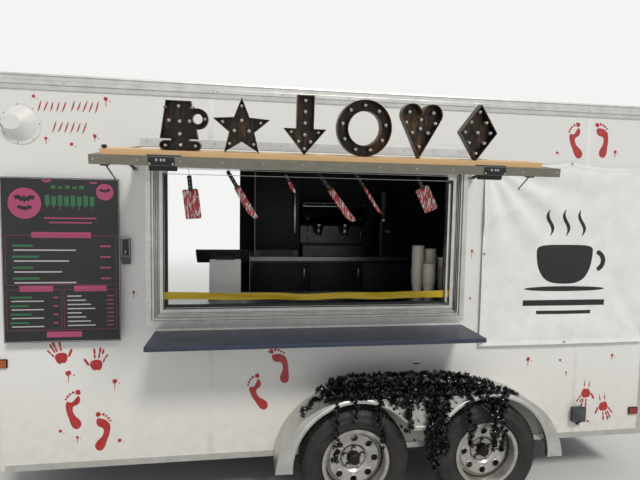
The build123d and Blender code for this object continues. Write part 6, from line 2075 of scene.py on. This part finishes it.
class TRAILER_OT_tongue(bpy.types.Operator):
    """Latch, bolts and chain eyes of the coupler, and the jack's crank fittings"""
    bl_idname = "trailer.tongue"
    bl_label = "Tongue fittings"

    JACK = 0.42                  # jack's axis behind the coupler's nose
    # Ring of a chain eye, and the grip on the jack's crank
    EYE = ((0.0130, 0.0), (0.0148, 0.0036), (0.0185, 0.0050), (0.0222, 0.0036), (0.0235, 0.0),
           (0.0222, -0.0036), (0.0185, -0.0050), (0.0148, -0.0036), (0.0130, 0.0))
    GRIP = ((0.0115, 0.0), (0.0150, 0.004), (0.0165, 0.020), (0.0150, 0.036), (0.0165, 0.052),
            (0.0150, 0.070), (0.0, 0.076))

    def execute(self, context):
        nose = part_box("coupler")[0].x
        jack = nose + self.JACK
        bm = bmesh.new()
        # Latch pin, lever, its pivot and the boss over the ball
        rod(bm, (nose + 0.120, -0.016, 0.474), (nose + 0.120, 0.016, 0.474), 0.0065, sides=14, edge=0.001)
        block(bm, (nose + 0.088, -0.013, 0.487), (nose + 0.205, 0.013, 0.4905), edge=0.0015)
        rod(bm, (nose + 0.232, -0.011, 0.486), (nose + 0.232, 0.011, 0.486), 0.005, sides=14, edge=0.001)
        turned(bm, ((0.0, 0.006), (0.016, 0.0055), (0.021, 0.002), (0.021, 0.0), (0.0, 0.0)),
               (nose + 0.052, 0, 0.4618), (0, 0, 1), steps=28)
        for side in SIDES.values():
            for x in (nose + 0.255, nose + 0.305):
                rod(bm, (x, side * 0.036, 0.440), (x, side * 0.049, 0.440), 0.0085, sides=6, edge=0.001)
            turned(bm, self.EYE, (nose + 0.62, side * 0.30, 0.340), (0.4, side, 0.1), steps=28)
        piece("coupler_fittings", bm, ["zinc"])
        bm = bmesh.new()
        for turn in (35, 145, 215, 325):
            turn = math.radians(turn)
            spot = Vector((jack + 0.047 * math.cos(turn), 0.047 * math.sin(turn), 0.459))
            rod(bm, spot, spot + Vector((0, 0, 0.008)), 0.0085, sides=6, edge=0.001)
        turned(bm, ((0.0, 0.016), (0.012, 0.014), (0.0165, 0.008), (0.0165, 0.0), (0.0, 0.0)),
               (jack, 0, 0.838), (0, 0, 1), steps=24)
        turned(bm, self.GRIP, (jack + 0.132, 0, 0.8375), (0, 0, 1), steps=24, slot=1)
        piece("jack_fittings", bm, ["zinc", "black_plastic"])
        return {"FINISHED"}


class TRAILER_OT_running_gear(bpy.types.Operator):
    """Axle bolts, spring eye bolts and brake backing plates"""
    bl_idname = "trailer.running_gear"
    bl_label = "Running gear"

    SPRING_Y = 1.0376
    EYE_Z = 0.297
    EYE_X = 0.318                # spring eye's distance from its axle
    # Brake backing plate: radius, place along the spindle
    PLATE = ((0.026, 0.0), (0.120, 0.0), (0.128, 0.004), (0.128, 0.010), (0.122, 0.012), (0.026, 0.008),
             (0.026, 0.0))

    def execute(self, context):
        bm = bmesh.new()
        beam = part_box("axles")[0].z + 0.030
        for axle in AXLES.values():
            for side in SIDES.values():
                middle = side * self.SPRING_Y
                for x in (axle - 0.038, axle + 0.038):
                    for y in (middle - 0.028, middle + 0.028):
                        rod(bm, (x, y, beam - 0.046), (x, y, beam + 0.078), 0.0055, sides=10)
                        rod(bm, (x, y, beam - 0.044), (x, y, beam - 0.035), 0.0105, sides=6)
                block(bm, (axle - 0.052, middle - 0.036, beam - 0.036),
                      (axle + 0.052, middle + 0.036, beam - 0.0305), edge=0.0015, slot=1)
                for x in (axle - self.EYE_X, axle + self.EYE_X):
                    rod(bm, (x, middle - 0.036, self.EYE_Z), (x, middle + 0.030, self.EYE_Z), 0.0078,
                        sides=6, edge=0.001)
                turned(bm, self.PLATE, (axle, side * 1.0985, HUB_Z), (0, -side, 0), steps=40, slot=1)
        piece("gear_bolts", bm, ["zinc", "enamel"])
        return {"FINISHED"}


class TRAILER_OT_hinge_line(bpy.types.Operator):
    """Screws, knuckle joints and strut studs along the hatch's hinge"""
    bl_idname = "trailer.hinge_line"
    bl_label = "Hinge line"

    RAIL_Z = 2.244
    BRACKETS = (-1.725, 0.336)   # strut brackets, as x from the axle pair
    STUD_Z = 2.085
    HALF_CUT = Vector((0.0006, 0, 0))

    def execute(self, context):
        heads, bm = bmesh.new(), bmesh.new()
        screws(heads, [(PAIR + x, SKIN - 0.006, self.RAIL_Z) for x in steps_between(-1.66, 0.27, 0.19)],
               (0, -1, 0))
        for place in self.BRACKETS:
            away = math.copysign(1, place)
            screws(heads, [(PAIR + place, SKIN - 0.004, self.STUD_Z + up) for up in (-0.024, 0.024)],
                   (0, -1, 0), radius=HEAD_9)
            turned(bm, ((0.0, 0.0045), (0.006, 0.004), (0.009, 0.0), (0.0, 0.0)),
                   (PAIR + place - away * 0.006, SKIN - 0.030, self.STUD_Z), (-away, 0, 0), steps=18)
        # Saw cuts between the knuckles show as thin dark rings
        for x in steps_between(-1.62, 0.23, 0.075):
            cut = Vector((PAIR + x, HINGE.y, HINGE.z))
            rod(bm, cut - self.HALF_CUT, cut + self.HALF_CUT, 0.0122, sides=20, slot=1)
        piece("hinge_screws", heads, ["zinc"])
        piece("hinge_joints", bm, ["zinc", "black_plastic"])
        return {"FINISHED"}


class TRAILER_OT_kitchen(bpy.types.Operator):
    """Fittings of the machines, doors of the refrigerator and counters, the till and the cups"""
    bl_idname = "trailer.kitchen"
    bl_label = "Kitchen"

    # Profiles of the espresso machine's parts: radius, place along the axis
    GROUP = ((0.0, 0.0), (0.046, 0.0), (0.046, 0.030), (0.038, 0.042), (0.038, 0.062), (0.0, 0.062))
    FILTER = ((0.0, 0.0), (0.037, 0.0), (0.037, 0.022), (0.012, 0.034), (0.009, 0.056), (0.0, 0.056))
    KEY = ((0.0, 0.004), (0.006, 0.0035), (0.008, 0.0), (0.0, 0.0))
    KNOB = ((0.0, 0.028), (0.016, 0.026), (0.021, 0.014), (0.021, 0.004), (0.0, 0.0))
    # Counter, its front's place and side, and the top of its doors
    COUNTERS = (("counter_galley", 0.402, -1, 1.360), ("counter_serving", -0.607, 1, 1.215))
    # Stacks of cups: x from the axle pair, y, number of cups
    STACKS = ((0.110, -0.770, 22), (0.205, -0.760, 20), (0.300, -0.775, 15), (0.160, -0.860, 12))
    SHELF_Z = 1.2701

    def execute(self, context):
        self.espresso()
        self.grinder()
        self.refrigerator()
        self.counters()
        self.till()
        self.cups()
        return {"FINISHED"}

    def espresso(self):
        """Groups, spouts, steam arms, drip grid, cup rail and keys of the espresso machine."""
        lo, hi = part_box("espresso_machine")
        bm = bmesh.new()
        for x in (lo.x + 0.17, hi.x - 0.17):
            y = lo.y + 0.135
            turned(bm, self.GROUP, (x, y, 1.712), (0, 0, -1), steps=32)
            turned(bm, self.FILTER, (x, y, 1.652), (0, 0, -1), steps=28)
            rod(bm, (x, y - 0.030, 1.640), (x, y - 0.165, 1.618), 0.010, tip=0.013, sides=14, edge=0.003,
                slot=1)
            for i in range(4):
                turned(bm, self.KEY, (x - 0.045 + 0.03 * i, lo.y + 0.037, 1.835), (0, -1, 0), steps=12,
                       slot=1)
        for x in (lo.x + 0.045, hi.x - 0.045):
            bend = Vector((x, lo.y - 0.01, 1.640))
            rod(bm, (x, lo.y + 0.06, 1.735), bend, 0.0052, sides=10, edge=0.001)
            rod(bm, bend, (x, lo.y + 0.005, 1.550), 0.0052, tip=0.004, sides=10, edge=0.001)
            turned(bm, self.KNOB, (x, lo.y + 0.030, 1.770), (0, -1, 0), steps=20, slot=1)
        for x in steps_between(lo.x + 0.03, hi.x - 0.03, 0.024):
            rod(bm, (x, lo.y + 0.015, 1.5135), (x, lo.y + 0.205, 1.5215), 0.0022, sides=8)
        for y in (lo.y + 0.055, hi.y - 0.02):
            rod(bm, (lo.x + 0.01, y, 1.915), (hi.x - 0.01, y, 1.915), 0.0055, sides=12, edge=0.001)
        for x in steps_between(lo.x + 0.012, hi.x - 0.012, 0.19):
            rod(bm, (x, lo.y + 0.055, 1.888), (x, lo.y + 0.055, 1.916), 0.0045, sides=10)
        block(bm, (lo.x - 0.001, lo.y + 0.048, 1.878), (hi.x + 0.001, lo.y + 0.052, 1.893), edge=0.0012)
        piece("espresso_fittings", bm, ["stainless", "black_plastic"])

    def grinder(self):
        """Lid, collar, spout and tray of the grinder."""
        bm = bmesh.new()
        lo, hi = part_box("coffee_grinder")
        middle = (lo + hi) / 2
        turned(bm, ((0.0, 0.010), (0.080, 0.008), (0.0895, 0.004), (0.0895, -0.006), (0.0, -0.006)),
               (middle.x, middle.y, hi.z), (0, 0, 1), steps=36)
        turned(bm, ((0.056, 0.0), (0.062, 0.004), (0.062, 0.020), (0.056, 0.024), (0.056, 0.0)),
               (middle.x, middle.y, 1.745), (0, 0, 1), steps=36, slot=1)
        block(bm, (middle.x - 0.022, lo.y - 0.055, 1.640), (middle.x + 0.022, lo.y + 0.012, 1.664),
              edge=0.004, slot=1)
        block(bm, (middle.x - 0.05, lo.y - 0.045, 1.4155), (middle.x + 0.05, lo.y + 0.010, 1.428),
              edge=0.004)
        piece("grinder_fittings", bm, ["black_plastic", "stainless"])

    def refrigerator(self):
        """Door, handle on its posts and foot grille of the refrigerator."""
        bm = bmesh.new()
        lo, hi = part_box("refrigerator")
        # The door takes the lining's dark colour, which is painted shade
        block(bm, (lo.x + 0.004, lo.y - 0.024, lo.z + 0.060), (hi.x - 0.004, lo.y + 0.001, hi.z - 0.006),
              edge=0.004)
        block(bm, (hi.x - 0.050, lo.y - 0.052, 1.640), (hi.x - 0.030, lo.y - 0.040, 2.060), edge=0.004,
              slot=1)
        for z in (1.655, 2.045):
            block(bm, (hi.x - 0.048, lo.y - 0.042, z - 0.010), (hi.x - 0.032, lo.y - 0.020, z + 0.010),
                  edge=0.002, slot=1)
        for i in range(5):
            slat = lo.z + 0.010 + 0.009 * i
            block(bm, (lo.x + 0.05, lo.y - 0.0025, slat), (hi.x - 0.05, lo.y + 0.001, slat + 0.0045),
                  edge=0.0008, slot=2)
        piece("refrigerator_door", bm, ["lining", "stainless", "black_plastic"])

    def counters(self):
        """Doors of both counters, each with a bar handle on two posts."""
        bm = bmesh.new()
        for name, face, way, top in self.COUNTERS:
            lo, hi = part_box(name)
            edges = steps_between(lo.x + 0.03, hi.x - 0.03, 0.5)
            near, far = face, face + way * 0.016
            grip = face + way * 0.030, face + way * 0.042
            post = face + way * 0.015, face + way * 0.034
            for first, last in zip(edges, edges[1:]):
                # The doors take the lining's dark colour, which is painted shade
                block(bm, (first + 0.004, near, 0.560), (last - 0.004, far, top), edge=0.003)
                x = last - 0.045
                block(bm, (x - 0.006, grip[0], top - 0.18), (x + 0.006, grip[1], top - 0.05), edge=0.003,
                      slot=1)
                for z in (top - 0.17, top - 0.06):
                    block(bm, (x - 0.005, post[0], z - 0.005), (x + 0.005, post[1], z + 0.005), edge=0.001,
                          slot=1)
        piece("counter_doors", bm, ["lining", "stainless"])

    def till(self):
        """A dark tablet leaning back on a pale stand."""
        bm = bmesh.new()
        lo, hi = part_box("till")
        lean = Matrix.Translation((lo.x, SKIN + 0.236, 1.286)) @ Matrix.Rotation(-0.11, 4, "X")
        block(bm, (lo.x - 0.002, SKIN + 0.202, 1.2705), (hi.x + 0.002, SKIN + 0.378, 1.290), edge=0.005)
        block(bm, (0.003, 0.0, 0.0), (0.207, 0.040, 0.245), edge=0.006, place=lean)
        block(bm, (0.020, -0.002, 0.030), (0.190, 0.002, 0.200), edge=0.0015, place=lean)
        tablet = Matrix.Translation(((lo.x + hi.x) / 2, SKIN + 0.262, 1.548)) @ Matrix.Rotation(0.86, 4, "X")
        block(bm, (-0.185, -0.006, -0.068), (0.150, 0.009, 0.068), edge=0.005, slot=1, place=tablet)
        block(bm, (-0.173, 0.0085, -0.058), (0.138, 0.0100, 0.058), edge=0.0008, slot=2, place=tablet)
        block(bm, (-0.060, -0.018, -0.035), (0.060, -0.005, 0.030), edge=0.004, slot=1, place=tablet)
        piece("till_stand", bm, ["white_plastic", "black_plastic", "glass"],
              replaces=("till",))

    def cups(self):
        """Stacks of nested cups on the serving counter, mouth up."""
        bm = bmesh.new()
        for x, y, count in self.STACKS:
            profile = [(0.0, 0.0), (0.029, 0.0), (0.0290, 0.003), (0.0415, 0.104)]
            for i in range(count):
                z = 0.104 + 0.0115 * i
                profile += [(0.0415, z), (0.0435, z + 0.001), (0.0435, z + 0.005), (0.0418, z + 0.006)]
            rim = profile[-1][1]
            profile += [(0.0400, rim), (0.0300, rim - 0.080), (0.0, rim - 0.080)]
            turned(bm, profile, (PAIR + x, y, self.SHELF_Z), (0, 0, 1), steps=28)
        piece("cup_stacks", bm, ["paper"])


class TRAILER_PT_build(bpy.types.Panel):
    """Lists the pieces and the stage in the sidebar"""
    bl_idname = "TRAILER_PT_build"
    bl_label = "Concession trailer"
    bl_space_type = "VIEW_3D"
    bl_region_type = "UI"
    bl_category = "Trailer"

    def draw(self, context):
        layout = self.layout
        for group in (context.scene.trailer_colours, context.scene.trailer_sizes,
                      context.scene.trailer_stage):
            box = layout.box()
            for name in group.bl_rna.properties.keys():
                if name not in ("rna_type", "name"):
                    box.prop(group, name)
        for step in STEPS:
            layout.operator(step.bl_idname)


STEPS = (
    TRAILER_OT_stage, TRAILER_OT_frame_finish, TRAILER_OT_seams, TRAILER_OT_rail_trim,
    TRAILER_OT_window, TRAILER_OT_hatch, TRAILER_OT_lamps, TRAILER_OT_props, TRAILER_OT_shelf,
    TRAILER_OT_fenders, TRAILER_OT_wheels, TRAILER_OT_garland, TRAILER_OT_banner, TRAILER_OT_board,
    TRAILER_OT_prints, TRAILER_OT_vents, TRAILER_OT_power, TRAILER_OT_markers, TRAILER_OT_doors,
    TRAILER_OT_treads, TRAILER_OT_tongue, TRAILER_OT_running_gear, TRAILER_OT_hinge_line,
    TRAILER_OT_kitchen,
)
GROUPS = {
    "trailer_colours": TrailerColours, "trailer_sizes": TrailerSizes, "trailer_stage": TrailerStage,
}


def register():
    for kind in (*GROUPS.values(), *STEPS, TRAILER_PT_build):
        bpy.utils.register_class(kind)
    for name, kind in GROUPS.items():
        setattr(bpy.types.Scene, name, PointerProperty(type=kind))


def unregister():
    for name in GROUPS:
        delattr(bpy.types.Scene, name)
    for kind in reversed((*GROUPS.values(), *STEPS, TRAILER_PT_build)):
        bpy.utils.unregister_class(kind)


def main():
    """Build everything in order."""
    register()
    for step in STEPS:
        family, action = step.bl_idname.split(".")
        getattr(getattr(bpy.ops, family), action)()


if __name__ == "__main__":
    main()
